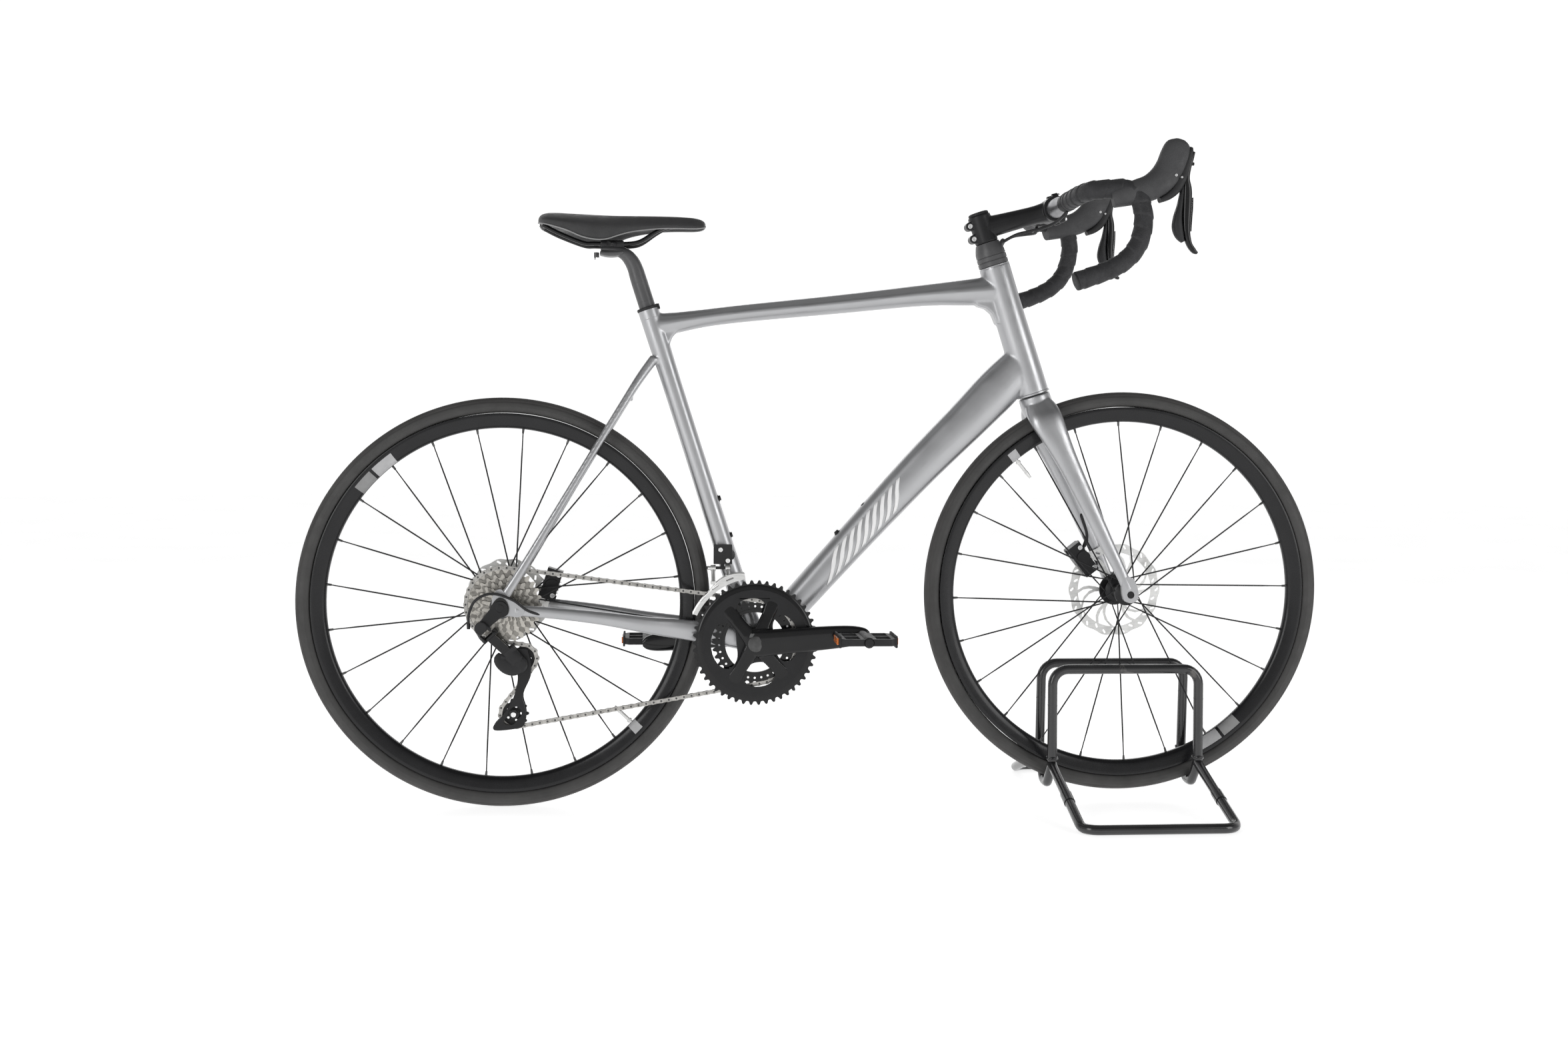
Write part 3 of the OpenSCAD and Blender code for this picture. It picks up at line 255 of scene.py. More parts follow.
# ---------- materials ----------
def finish(name, colour, rough, metal=0.0, coat=0.0, cloud=(22.0, 0.12),
           grain=(700.0, 0.1), wear=None, stretch=(1, 1, 1), sheen=0.0,
           scuff=(9.0, 0.62), shine=0.5):
    """A surface with clouded colour and gloss, fine relief and optional wear."""
    m = bpy.data.materials.new(name)
    m.use_nodes = True
    m.diffuse_color = (*colour, 1)
    nodes, links = m.node_tree.nodes, m.node_tree.links
    shader = nodes["Principled BSDF"]
    shader.inputs["Metallic"].default_value = metal
    shader.inputs["Specular IOR Level"].default_value = shine
    shader.inputs["Coat Weight"].default_value = coat
    shader.inputs["Coat Roughness"].default_value = 0.06
    shader.inputs["Sheen Weight"].default_value = sheen
    coord = nodes.new("ShaderNodeTexCoord")
    mapping = nodes.new("ShaderNodeMapping")
    mapping.inputs["Scale"].default_value = stretch
    links.new(coord.outputs["Object"], mapping.inputs["Vector"])

    def noise(scale, detail=4.0):
        t = nodes.new("ShaderNodeTexNoise")
        t.inputs["Scale"].default_value = scale
        t.inputs["Detail"].default_value = detail
        links.new(mapping.outputs["Vector"], t.inputs["Vector"])
        return t.outputs["Fac"]

    def ramp(source, stops):
        r = nodes.new("ShaderNodeValToRGB")
        r.color_ramp.elements[0].position, r.color_ramp.elements[0].color = (
            stops[0][0], (*stops[0][1], 1))
        r.color_ramp.elements[1].position, r.color_ramp.elements[1].color = (
            stops[1][0], (*stops[1][1], 1))
        links.new(source, r.inputs["Fac"])
        return r.outputs["Color"]

    def spread(source, low, high, start=0.3, end=0.7):
        r = nodes.new("ShaderNodeMapRange")
        for key, value in zip(("From Min", "From Max", "To Min", "To Max"),
                              (start, end, low, high)):
            r.inputs[key].default_value = value
        links.new(source, r.inputs["Value"])
        return r.outputs["Result"]

    big = noise(cloud[0])
    dark = [c * (1 - cloud[1]) for c in colour]
    light = [min(1, c * (1 + cloud[1])) for c in colour]
    tone = ramp(big, ((0.3, dark), (0.7, light)))
    gloss = spread(noise(cloud[0] * 3), rough * 0.85, min(1, rough * 1.2))
    if wear:
        patches = spread(noise(scuff[0], 8.0), 0, 1, scuff[1], scuff[1] + 0.06)
        mix = nodes.new("ShaderNodeMix")
        mix.data_type = "RGBA"
        links.new(patches, mix.inputs["Factor"])
        links.new(tone, mix.inputs[6])
        mix.inputs[7].default_value = (*wear, 1)
        tone = mix.outputs[2]
        add = nodes.new("ShaderNodeMath")
        add.operation = "MULTIPLY_ADD"
        add.inputs[1].default_value = 0.3
        links.new(patches, add.inputs[0])
        links.new(gloss, add.inputs[2])
        gloss = add.outputs[0]
    links.new(tone, shader.inputs["Base Color"])
    links.new(gloss, shader.inputs["Roughness"])
    if "cells" in grain:
        cells = nodes.new("ShaderNodeTexVoronoi")
        cells.inputs["Scale"].default_value = grain[0]
        links.new(mapping.outputs["Vector"], cells.inputs["Vector"])
        height = cells.outputs["Distance"]
    else:
        height = noise(grain[0], 2.0)
    bump = nodes.new("ShaderNodeBump")
    bump.inputs["Strength"].default_value = grain[1]
    bump.inputs["Distance"].default_value = 0.0006
    links.new(height, bump.inputs["Height"])
    links.new(bump.outputs["Normal"], shader.inputs["Normal"])
    return m


PAINT = finish("frame_paint", (0.445, 0.448, 0.458), 0.33, 0.88, 0.15, (12, 0.03),
               (1500, 0.02))
LABEL = finish("sticker", (0.42, 0.42, 0.425), 0.45, cloud=(60, 0.1))
WHITE = finish("mark_white", (0.86, 0.86, 0.86), 0.4, cloud=(40, 0.03))
GLOSS = finish("gloss_black", (0.006, 0.006, 0.0065), 0.17, 0, 0.25, (30, 0.2), (300, 0.02), shine=0.25)
SATIN = finish("satin_black", (0.012, 0.012, 0.013), 0.36, cloud=(40, 0.15),
               grain=(1200, 0.08), shine=0.32)
PLASTIC = finish("moulded_plastic", (0.02, 0.02, 0.021), 0.5, cloud=(35, 0.15),
                 grain=(1600, 0.2), shine=0.3)
RUBBER = finish("hood_rubber", (0.045, 0.045, 0.047), 0.62, cloud=(30, 0.12),
                grain=(620, 0.45, "cells"), sheen=0.03)
TAPE = finish("bar_tape", (0.03, 0.03, 0.032), 0.58, cloud=(60, 0.25),
              grain=(420, 0.5, "cells"), sheen=0.02, shine=0.3)
TYRE = finish("tyre_rubber", (0.048, 0.046, 0.045), 0.66, cloud=(14, 0.2), grain=(900, 0.5))
WALL = finish("tyre_wall", (0.042, 0.041, 0.04), 0.55, cloud=(18, 0.2),
              grain=(1400, 0.35, "cells"))
RIM = finish("rim_black", (0.009, 0.009, 0.01), 0.26, 0.0, 0.12, (25, 0.2), (500, 0.04), shine=0.3)
STEEL = finish("brushed_steel", (0.72, 0.72, 0.71), 0.33, 1.0, cloud=(60, 0.08),
               grain=(900, 0.12), stretch=(1, 1, 6))
BRIGHT = finish("bright_steel", (0.85, 0.85, 0.85), 0.18, 1.0, cloud=(80, 0.06))
COG = finish("cog_steel", (0.52, 0.5, 0.46), 0.3, 1.0, cloud=(70, 0.2), grain=(1100, 0.12))
# a darker copy of cog_steel: painted shade for every other cog
COG_PAINTED_SHADE = finish("cog_painted_shade", (0.26, 0.25, 0.23), 0.32, 1.0, cloud=(70, 0.2),
                  grain=(1100, 0.12))
CHAIN = finish("chain_steel", (0.42, 0.41, 0.39), 0.3, 1.0, cloud=(150, 0.25),
               grain=(1300, 0.1))
DARK = finish("dark_steel", (0.1, 0.1, 0.1), 0.35, 1.0, cloud=(80, 0.2))
BARE = finish("bar_alloy", (0.3, 0.3, 0.31), 0.38, 0.9, cloud=(50, 0.08),
              grain=(1500, 0.12))
STAND = finish("stand_paint", (0.018, 0.018, 0.019), 0.2, 0.0, 0.4, (15, 0.3), (160, 0.1),
               wear=(0.11, 0.105, 0.1), scuff=(26.0, 0.66))
COVER = finish("saddle_cover", (0.026, 0.026, 0.027), 0.5, cloud=(25, 0.15),
               grain=(1100, 0.6, "cells"), sheen=0.1)
EDGE = finish("saddle_edge", (0.25, 0.25, 0.25), 0.45, cloud=(60, 0.1))
ORANGE = finish("reflector", (0.85, 0.2, 0.01), 0.16, 0.0, 0.8, (60, 0.15),
                (420, 0.9, "cells"))
POST = finish("post_carbon", (0.075, 0.075, 0.077), 0.34, cloud=(40, 0.12),
              grain=(1300, 0.05))
FLOOR = finish("studio_floor", (0.7, 0.7, 0.7), 0.7, cloud=(0.8, 0.02), grain=(40, 0.02))
FLOOR.node_tree.nodes["Principled BSDF"].inputs["Emission Color"].default_value = (1, 1, 1, 1)
FLOOR.node_tree.nodes["Principled BSDF"].inputs["Emission Strength"].default_value = 0.74


# ---------- making pieces ----------
def make(name, shape, body, mats, replaces=(), bevel=0.0, angle=35,
         subdivide=0, weld=True):
    """Turns a shape into an object that rides on a body and replaces CAD nodes."""
    mesh = bpy.data.meshes.new(name)
    mesh.from_pydata([c * MM for c in shape.co], [], shape.faces)
    mesh.polygons.foreach_set("material_index", shape.mats)
    bm = bmesh.new()
    bm.from_mesh(mesh)
    if weld:
        bmesh.ops.remove_doubles(bm, verts=bm.verts, dist=2e-6)
    bmesh.ops.dissolve_degenerate(bm, edges=bm.edges, dist=1e-6)
    bmesh.ops.recalc_face_normals(bm, faces=bm.faces)
    bm.to_mesh(mesh)
    bm.free()
    return dress(name, mesh, body, mats, replaces, bevel, angle, subdivide)


def dress(name, mesh, body, mats, replaces=(), bevel=0.0, angle=35,
          subdivide=0):
    """Gives a mesh its materials and edges and ties it to its body and nodes."""
    for m in (mats if isinstance(mats, (list, tuple)) else [mats]):
        mesh.materials.append(m)
    mesh.shade_smooth()
    mesh.set_sharp_from_angle(angle=radians(angle))
    o = bpy.data.objects.new(name, mesh)
    bpy.context.scene.collection.objects.link(o)
    if bevel:
        b = o.modifiers.new("edges", "BEVEL")
        b.width, b.segments, b.limit_method = bevel * MM, 2, "ANGLE"
        b.angle_limit, b.harden_normals = radians(angle), True
    if subdivide:
        s = o.modifiers.new("surface", "SUBSURF")
        s.levels = s.render_levels = subdivide
    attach(o, body)
    if replaces:
        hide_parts(*([replaces] if isinstance(replaces, str) else replaces))
    return o


def refine(node, mats, bevel=0.6, angle=32):
    """The CAD node's own shape with its edges eased, shown in place of the node."""
    src = frame["nodes"][node]
    bm = bmesh.new()
    bm.from_mesh(src.data)
    bmesh.ops.remove_doubles(bm, verts=bm.verts, dist=2e-6)
    bmesh.ops.dissolve_limit(bm, angle_limit=radians(1), verts=bm.verts, edges=bm.edges)
    mesh = bpy.data.meshes.new(node + "_eased")
    bm.to_mesh(mesh)
    bm.free()
    return dress(node + "_eased", mesh, src["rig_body"], mats, node, bevel, angle)


def melt(shape, voxel, passes):
    """One smooth skin round overlapping solids, as a moulded or welded part has."""
    mesh = bpy.data.meshes.new("melt")
    mesh.from_pydata([c * MM for c in shape.co], [], shape.faces)
    bm = bmesh.new()
    bm.from_mesh(mesh)
    bmesh.ops.remove_doubles(bm, verts=bm.verts, dist=2e-6)
    bmesh.ops.recalc_face_normals(bm, faces=bm.faces)
    bm.to_mesh(mesh)
    bm.free()
    o = bpy.data.objects.new("melt", mesh)
    bpy.context.scene.collection.objects.link(o)
    r = o.modifiers.new("skin", "REMESH")
    r.mode, r.voxel_size = "VOXEL", voxel * MM * 1
    s = o.modifiers.new("ease", "SMOOTH")
    s.factor, s.iterations = 0.5, passes
    bpy.context.view_layer.update()
    done = bpy.data.meshes.new_from_object(
        o.evaluated_get(bpy.context.evaluated_depsgraph_get()))
    bpy.data.objects.remove(o)
    return done


# ---------- camera, light and floor ----------
def studio():
    """Camera, four soft lamps, a white room and a white floor."""
    cam = bpy.data.objects.new("camera", bpy.data.cameras.new("camera"))
    bpy.context.scene.collection.objects.link(cam)
    look = (turn(-0.0824, "Z") @ turn(-0.0548, "X") @ turn(-0.0071, "Y")).to_3x3()
    axes = (look.col[0], look.col[2], -look.col[1], V((-0.2814, -2.7168, 0.6217)))
    cam.matrix_world = Matrix([[a[i] for a in axes] for i in range(3)] + [[0, 0, 0, 1]])
    cam.data.sensor_width, cam.data.lens = 36, 37.6
    cam.data.clip_end = 60
    bpy.context.scene.camera = cam

    def area(name, at, size, power, target=(0, 0, 0.5)):
        lamp = bpy.data.objects.new(name, bpy.data.lights.new(name, "AREA"))
        bpy.context.scene.collection.objects.link(lamp)
        lamp.data.shape, lamp.data.size, lamp.data.size_y = "RECTANGLE", *size
        lamp.data.energy = power
        lamp.location = at
        lamp.rotation_euler = (V(target) - V(at)).to_track_quat("-Z", "Y").to_euler()

    area("overhead", (0, 0, 3.2), (3.6, 2.6), 5)
    area("front_left", (-2.6, -2.6, 1.4), (1.4, 2.0), 30)
    area("front_right", (2.8, -2.4, 1.3), (1.4, 2.0), 26)
    area("back", (0.4, 3.2, 2.4), (3.0, 1.6), 16)
    world = bpy.data.worlds.new("studio")
    bpy.context.scene.world = world
    world.use_nodes = True
    nodes, links = world.node_tree.nodes, world.node_tree.links
    nodes["Background"].inputs["Color"].default_value = (1, 1, 1, 1)
    axes = nodes.new("ShaderNodeSeparateXYZ")
    links.new(nodes.new("ShaderNodeTexCoord").outputs["Generated"], axes.inputs[0])

    def fade(source, start, end, low, high):
        r = nodes.new("ShaderNodeMapRange")
        for key, value in zip(("From Min", "From Max", "To Min", "To Max"),
                              (start, end, low, high)):
            r.inputs[key].default_value = value
        links.new(source, r.inputs["Value"])
        return r.outputs["Result"]

    # a bright wall behind the bicycle, a dimmer room in front and above
    mix = nodes.new("ShaderNodeMath")
    mix.operation = "MULTIPLY"
    links.new(fade(axes.outputs["Y"], 0.1, 0.7, 0.5, 1.1), mix.inputs[0])
    links.new(fade(axes.outputs["Z"], 0.3, 0.8, 1.0, 0.16), mix.inputs[1])
    links.new(mix.outputs[0], nodes["Background"].inputs["Strength"])
    bpy.context.scene.view_settings.view_transform = "Standard"

    s = Shape()
    s.lathe([(14000, 0), (14000, -12)], 96)
    mesh = bpy.data.meshes.new("floor")
    mesh.from_pydata([c * MM for c in s.co], [], s.faces)
    mesh.materials.append(FLOOR)
    floor_disc = bpy.data.objects.new("floor", mesh)
    bpy.context.scene.collection.objects.link(floor_disc)


# ---------- wheels ----------
def wheel(end, c, flange_right, flange_left, hub_r, half, core, phase, valve, labels):
    """phase turns the first spoke above +X, and valve is the valve's own angle."""
    body, at = end + "_wheel", axle(c) @ turn(radians(phase), "Z")
    mid = WHEEL_R - TYRE_W / 2
    s = Shape(at)
    profile = []
    for k in range(-26, 27):
        a = radians(k * 5)
        dip = 0.45 if abs(k) in (11, 12) else (-0.35 if abs(k) == 19 else 0)
        r = TYRE_W / 2 - dip
        profile.append((mid + r * cos(a), r * sin(a)))
    profile += [(BEAD_R + 2.3, 8.8), (BEAD_R + 2.3, -8.8)]
    s.lathe(profile, 200, True)
    tread = [0 if abs(atan2(p[1], p[0] - mid)) < radians(58) else 1 for p in profile]
    s.mats = [tread[i] for i in range(len(profile)) for _ in range(200)]
    make(end + "_tyre_skin", s, body, [TYRE, WALL], end + "_tyre", angle=60)

    s = Shape(at)
    half_rim = [(RIM_IN, 0), (RIM_IN + 0.3, 3.2), (RIM_IN + 2.2, 6.4), (RIM_IN + 6, 8.9),
                (RIM_IN + 12, 10.7), (RIM_IN + 19, 12.0), (BEAD_R + 0.8, 12.6),
                (BEAD_R + 1.5, 12.2), (BEAD_R + 1.6, 11.2)]
    s.lathe([(r, -z) for r, z in half_rim[:0:-1]] + half_rim, 200, True)
    s.mat = 1
    for i in range(SPOKES):
        a = tau * i / SPOKES
        z = 1.5 if i % 2 == 0 else -1.5
        d = V((cos(a), sin(a), 0))
        s.rod(d * (RIM_IN + 2) + V((0, 0, z)), d * (RIM_IN - 7) + V((0, 0, z)), 2.2, 1.7, 10)
    s.mat = 2
    d = V((cos(radians(valve - phase)), sin(radians(valve - phase)), 0))
    s.rod(d * (RIM_IN + 2), d * (RIM_IN - 26), 3.0, n=14)
    s.rod(d * (RIM_IN - 3), d * (RIM_IN - 6), 4.6, n=14)
    s.rod(d * (RIM_IN - 26), d * (RIM_IN - 38), 3.6, 2.2, 14)
    # plain stickers on the rim's right face
    face = [(RIM_IN + r, z + 0.25) for r, z in ((0.6, 4), (2.2, 6.4), (6, 8.9), (12, 10.7),
                                                (18, 11.9))]
    for a0, a1, tone in labels + ((valve - 1.6, valve + 1.6, 3),):
        s.mat = tone
        n = 8
        turns = [radians(a0 + (a1 - a0) * k / n - phase) for k in range(n + 1)]
        s.add([(r * cos(a), r * sin(a), z) for a in turns for r, z in face],
              [[k * 5 + j, k * 5 + j + 1, k * 5 + j + 6, k * 5 + j + 5]
               for k in range(n) for j in range(4)])
    make(end + "_rim_skin", s, body, [RIM, DARK, STEEL, LABEL, EDGE], end + "_rim",
         angle=40)

    s = Shape(at)
    for i in range(SPOKES):
        right, lead = i % 2 == 0, 1 if i // 2 % 2 == 0 else -1
        rim_a = tau * i / SPOKES
        hub_a = rim_a + lead * radians(62)
        z = (flange_right if right else -flange_left) + lead * 0.9
        a = V((hub_r * cos(hub_a), hub_r * sin(hub_a), z))
        b = V(((RIM_IN - 5) * cos(rim_a), (RIM_IN - 5) * sin(rim_a), 1.5 if right else -1.5))
        flat = (b - a).cross(V((0, 0, 1))).normalized()
        w = [(0.9, 0.9), (1.0, 0.9), (1.25, 0.5), (1.25, 0.5), (1.0, 0.9), (1.0, 1.0)]
        s.tube([a.lerp(b, t) for t in (0, 0.06, 0.12, 0.86, 0.92, 1)], w, 8, flat)
        s.ball(a, 1.7, 8)
    make(end + "_spokes_skin", s, body, [SATIN], end + "_spokes", angle=60)

    s = Shape(at)
    fr, fl, e = flange_right, -flange_left, half - 0.5
    big = hub_r + 3
    s.lathe([(6.3, -e), (9.5, -e), (10.5, -e + 1), (10.5, -e + 5), (core + 4, -e + 7),
             (core + 5, -e + 12), (core + 3, fl - 4.5), (big - 1.2, fl - 2.2),
             (big, fl - 1.2), (big, fl + 1.2), (big - 1.2, fl + 2.2), (core + 3, fl + 5),
             (core + 1, fl + 12), (core, (fl + fr) / 2), (core + 1, fr - 12),
             (core + 3, fr - 5), (big - 1.2, fr - 2.2), (big, fr - 1.2), (big, fr + 1.2),
             (big - 1.2, fr + 2.2), (core + 4, fr + 4), (core + 1, fr + 6),
             (10.5, min(fr + 9, e - 3)), (10.5, e - 1), (9.5, e), (6.3, e)], 56, True)
    make(end + "_hub_skin", s, body, [SATIN], end + "_hub", angle=30)


def rotor(end, c, r_out, y, arms):
    """Brake disc: a drilled band on swept arms round a black carrier."""
    s = Shape(axle(c, y))
    edge = [(r * cos(a), r * sin(a))
            for r, a in ((r_out - 1.2 + 1.2 * cos(14 * a), a)
                         for a in (tau * k / 168 for k in range(168)))]
    holes = [circle(r_out - 16, 96)]
    for i in range(28):
        a = tau * i / 28
        r = r_out - (5.6 if i % 2 == 0 else 10.6)
        holes.append(slot_loop((r * cos(a), r * sin(a)), a + 0.8, 8.2, 3.4, 4))
    s.plate([edge] + holes, -0.9, 0.9)
    for i in range(arms):
        mids = [(24 + (r_out - 39) * t, tau * i / arms + 0.5 * t * t)
                for t in (0, 0.25, 0.5, 0.75, 1)]
        for bend in (0, -0.42):
            left = [(r * cos(b) - 2.6 * sin(b), r * sin(b) + 2.6 * cos(b))
                    for r, b in ((r, b + bend * (r - 24) / 40) for r, b in mids)]
            right = [(r * cos(b) + 2.6 * sin(b), r * sin(b) - 2.6 * cos(b))
                     for r, b in ((r, b + bend * (r - 24) / 40) for r, b in mids)]
            s.plate([right + left[::-1]], -0.85 + bend * 0.1, 0.85 + bend * 0.1)
    s.mat = 1
    s.ring(26.5, 15.5, -1.6, 1.6, 60, 0.5)
    s.mat = 2
    s.ring(21, 14.5, -4.2, -1.6, 40, 0.5)
    for i in range(12):
        a = tau * i / 12
        s.rod((17.6 * cos(a), 17.6 * sin(a), -4.2), (17.6 * cos(a), 17.6 * sin(a), -5.2), 1.6, n=8)
    make(end + "_rotor_skin", s, end + "_wheel", [STEEL, SATIN, DARK], end + "_rotor",
         bevel=0.18, angle=40)


# ---------- frame ----------
def row(x, z, w, h, y=0.0):
    """A row for Shape.rows, with y last because it is often 0."""
    return (x, y, z, w, h)


DOWN = [row(-66, 306, 30, 25), row(-34, 341, 27, 25.5), row(70, 456, 23.5, 28),
        row(168, 562, 24, 31.5), row(250, 645, 25, 34.5), row(300, 697, 25, 36.5),
        row(338, 737, 22.5, 33)]
TOP = [row(-268, 797, 15.5, 20), row(-240, 801, 14.5, 17.5), row(-190, 809.5, 15, 14.8),
       row(-122, 818.5, 16.5, 14.5), row(30, 835, 18.5, 15.6), row(167, 851, 20, 17.5),
       row(240, 857, 21, 21.5), row(290, 861, 21, 25)]
# webs that fill the corners between the tubes: outline (x, z) and half width
WEBS = [([(258, 840), (264, 834), (277, 831), (288, 822), (296, 804), (305, 822), (292, 855)], 13),
        ([(-264, 802), (-205, 803), (-205, 797.5), (-221, 793.5), (-235, 787), (-244, 777),
          (-250, 760), (-254, 742), (-272, 750)], 9)]


def frame_skin():
    """The frame's tubes as one blended skin, with its sockets and dropouts."""
    s = Shape()
    s.rows(DOWN, 8, 32, 2.3)
    s.rows(TOP, 8, 28, 1.65)
    s.at = axle(V((0, 0, 0)))
    for outline, w in WEBS:
        s.plate([outline], -w, w)
    s.at = Matrix()
    seat = [V(BB) + d * SEAT_UP for d in (0, 60, 160, 300, 430, 520, 572)]
    s.tube(smooth(seat, 4), [(w, h) for w, h in smooth(
        [(30, 22), (21, 18.5), (17.5, 17), (16, 16), (15.8, 16), (16.4, 17), (17, 17.4)], 4)],
        28)
    s.at = ON_STEERER
    s.lathe([(20, 1), (26.2, 1), (26.4, 8), (26.2, 60), (25.4, 130), (25.2, 170),
             (25.6, 205), (25.8, HEAD_LEN - 1), (20, HEAD_LEN - 1)], 48)
    s.at = axle(BB)
    s.lathe([(10, -36.5), (24.5, -36.5), (26, -34), (26.5, 0), (26, 34), (24.5, 36.5),
             (10, 36.5)], 48)
    s.at = Matrix()
    for side in (-1, 1):
        s.rows([row(-497, 334, 5.0, 9.5, side * 75), row(-440, 329, 6.5, 9.5, side * 68),
                row(-360, 319, 8, 11, side * 56), row(-285, 306, 9.5, 14, side * 42),
                row(-225, 297, 8.5, 17, side * 29.5), row(-150, 287, 9.5, 20, side * 26.5),
                row(-112, 280, 9.5, 22, side * 26)], 6, 20, 2.3)
        s.rows([row(-514, 352, 4.5, 8, side * 75), row(-478, 410, 5.5, 7, side * 67),
                row(-400, 541, 6, 6, side * 48), row(-320, 673, 6.6, 6.6, side * 25),
                row(-296, 711, 7.2, 7.4, side * 16), row(-273, 743, 7, 8, side * 9)],
               6, 20, 2.2)
    s.box((-317, -20, 672), (9, 40, 14))
    skin = melt(s, 1.6, 16)
    dress("frame_skin", skin, "frame", [PAINT], "main_frame", angle=50)

    # crisp rims of the sockets, and the dropouts
    s = Shape(ON_STEERER)
    s.ring(27.6, 20.5, 0.6, 4, 56, 0.6)
    s.ring(25.4, 20.5, HEAD_LEN - 3, HEAD_LEN - 0.2, 56, 0.6)
    s.at = ON_SEAT
    s.ring(17.3, 13.8, -16, 0, 48, 0.6)
    make("socket_rims", s, "frame", [PAINT], (), angle=35)

    s = Shape()
    for side in (-1, 1):
        s.at = axle(REAR, side * 75)
        loop = [(-14, 3), (-13, -7), (-7, -13), (3, -14.5), (14, -13), (26, -15), (35, -12),
                (38, -3), (30, 8), (16, 14), (9, 22), (1, 30), (-8, 27), (-13, 16)]
        s.plate([[q[:2] for q in smooth([p for p in loop + loop[:1]], 3)][:-1],
                 circle(6.05, 24)], -4, 4)
    make("rear_dropouts", s, "frame", [PAINT], "rear_stays", bevel=1.2)


def frame_details():
    """Marks on the down tube, bottle bolts, bearing cups and the seat wedge."""
    # marks on the down tube: plain slanted bars, no letters
    s = Shape()
    dense = smooth(DOWN, 24)
    for side in (-1, 1):
        for c in range(37, 62, 3):
            grid = []
            for i in range(4):
                for k in range(9):
                    u = c + 0.55 * i + 0.95 * (4 - k)
                    r = [a + (b - a) * (u % 1) for a, b in zip(dense[int(u)], dense[int(u) + 1])]
                    t = (V(dense[int(u) + 1][:3]) - V(dense[int(u)][:3])).normalized()
                    a = radians(30 - 64 * k / 8)
                    grid.append(V(r[:3]) + V((0, side * (r[3] + 0.5) * bent(cos(a), 2.3), 0))
                                + V((-t.z, 0, t.x)) * ((r[4] + 0.5) * bent(sin(a), 2.3)))
            s.add(grid, [[i * 9 + k, i * 9 + k + 1, i * 9 + k + 10, i * 9 + k + 9]
                         for i in range(3) for k in range(8)])
    marks = make("tube_marks", s, "frame", [WHITE], (), angle=60)
    thick = marks.modifiers.new("film", "SOLIDIFY")
    thick.thickness, thick.offset = 0.35 * MM, 1

    # bottle bolts and the bearing faces
    s = Shape()
    lean = V((cos(SEAT_TILT), 0, -sin(SEAT_TILT)))
    for d in (178, 242):
        p = V(BB) + d * SEAT_UP + 15.2 * lean
        s.rod(p, p + 1.6 * lean, 6.2, 5.8, 20)
        s.bolt(Matrix.Translation(p + 1.4 * lean) @ turn(SEAT_TILT + pi / 2, "Y"), 4.3, 3.2)
    a, b = V(BB) + V((10, 0, 8)), V(CROWN) + 48 * HEAD_UP
    along = (b - a).normalized()
    up = V((-along.z, 0, along.x))
    for d in (212, 276):
        p = a + d * along + (24 + 7 * d / (b - a).length + 1.2) * up
        s.rod(p - 2 * up, p + 1.2 * up, 6.2, 5.8, 20)
        s.bolt(Matrix.Translation(p + 1.0 * up)
               @ turn(atan2(up.x, up.z), "Y"), 4.3, 3.2)
    s.at = axle(BB)
    for sgn in (-1, 1):
        z0, z1 = sorted((sgn * 34, sgn * 38.5))
        s.ring(22.5, 12.2, z0, z1, 48, 0.7)
    s.at = ON_STEERER
    s.ring(24, 14.5, -0.2, 0.8, 48)
    make("frame_trim", s, "frame", [SATIN], "frame_fittings", angle=35)

    s = Shape(ON_SEAT)
    s.ring(18.2, 13.95, -1.0, 4.2, 56, 0.9)
    s.box((14.6, -7.5, -4), (4.9, 15, 8.5))
    s.bolt(move(14.5, 0, 4.2), 3.4, 1.2)
    make("seat_wedge", s, "frame", [PLASTIC], (), bevel=0.5)


def fork_skin():
    """Crown and blades as one skin, and the fork ends."""
    s = Shape(ON_STEERER)
    s.lathe([(10, -40), (20, -40), (25, -32), (27, -20), (26.8, -8), (26.4, -1.2), (20, -1.2)], 48)
    s.at = Matrix()
    for side in (-1, 1):
        s.rows([row(366, 676, 13, 22, side * 10), row(372, 661, 14, 27, side * 20),
                row(379, 644, 12.5, 27.5, side * 31), row(391, 619, 10.5, 23.5, side * 37),
                row(412, 577, 9.5, 18.5, side * 39.5), row(440, 520, 8.5, 15.5, side * 43),
                row(474, 450, 7.5, 12.5, side * 48), row(502, 393, 6, 10, side * 53),
                row(515, 362, 5, 9, side * 55)], 7, 24, 2.2)
    skin = melt(s, 1.6, 7)
    dress("fork_skin", skin, "front_end", [PAINT], "fork", angle=50)
    s = Shape()
    for side in (-1, 1):
        s.at = axle(FRONT, side * 54.6)
        loop = [(-13.5, -2), (-10, -10), (0, -13.6), (10, -10), (13.5, 0), (11, 12), (5, 26),
                (-6, 30), (-14, 24), (-15, 10)]
        s.plate([[q[:2] for q in smooth(loop + loop[:1], 4)][:-1], circle(6.05, 24)],
                -4.6, 4.6)
    make("fork_ends", s, "front_end", [PAINT], (), bevel=1.4)


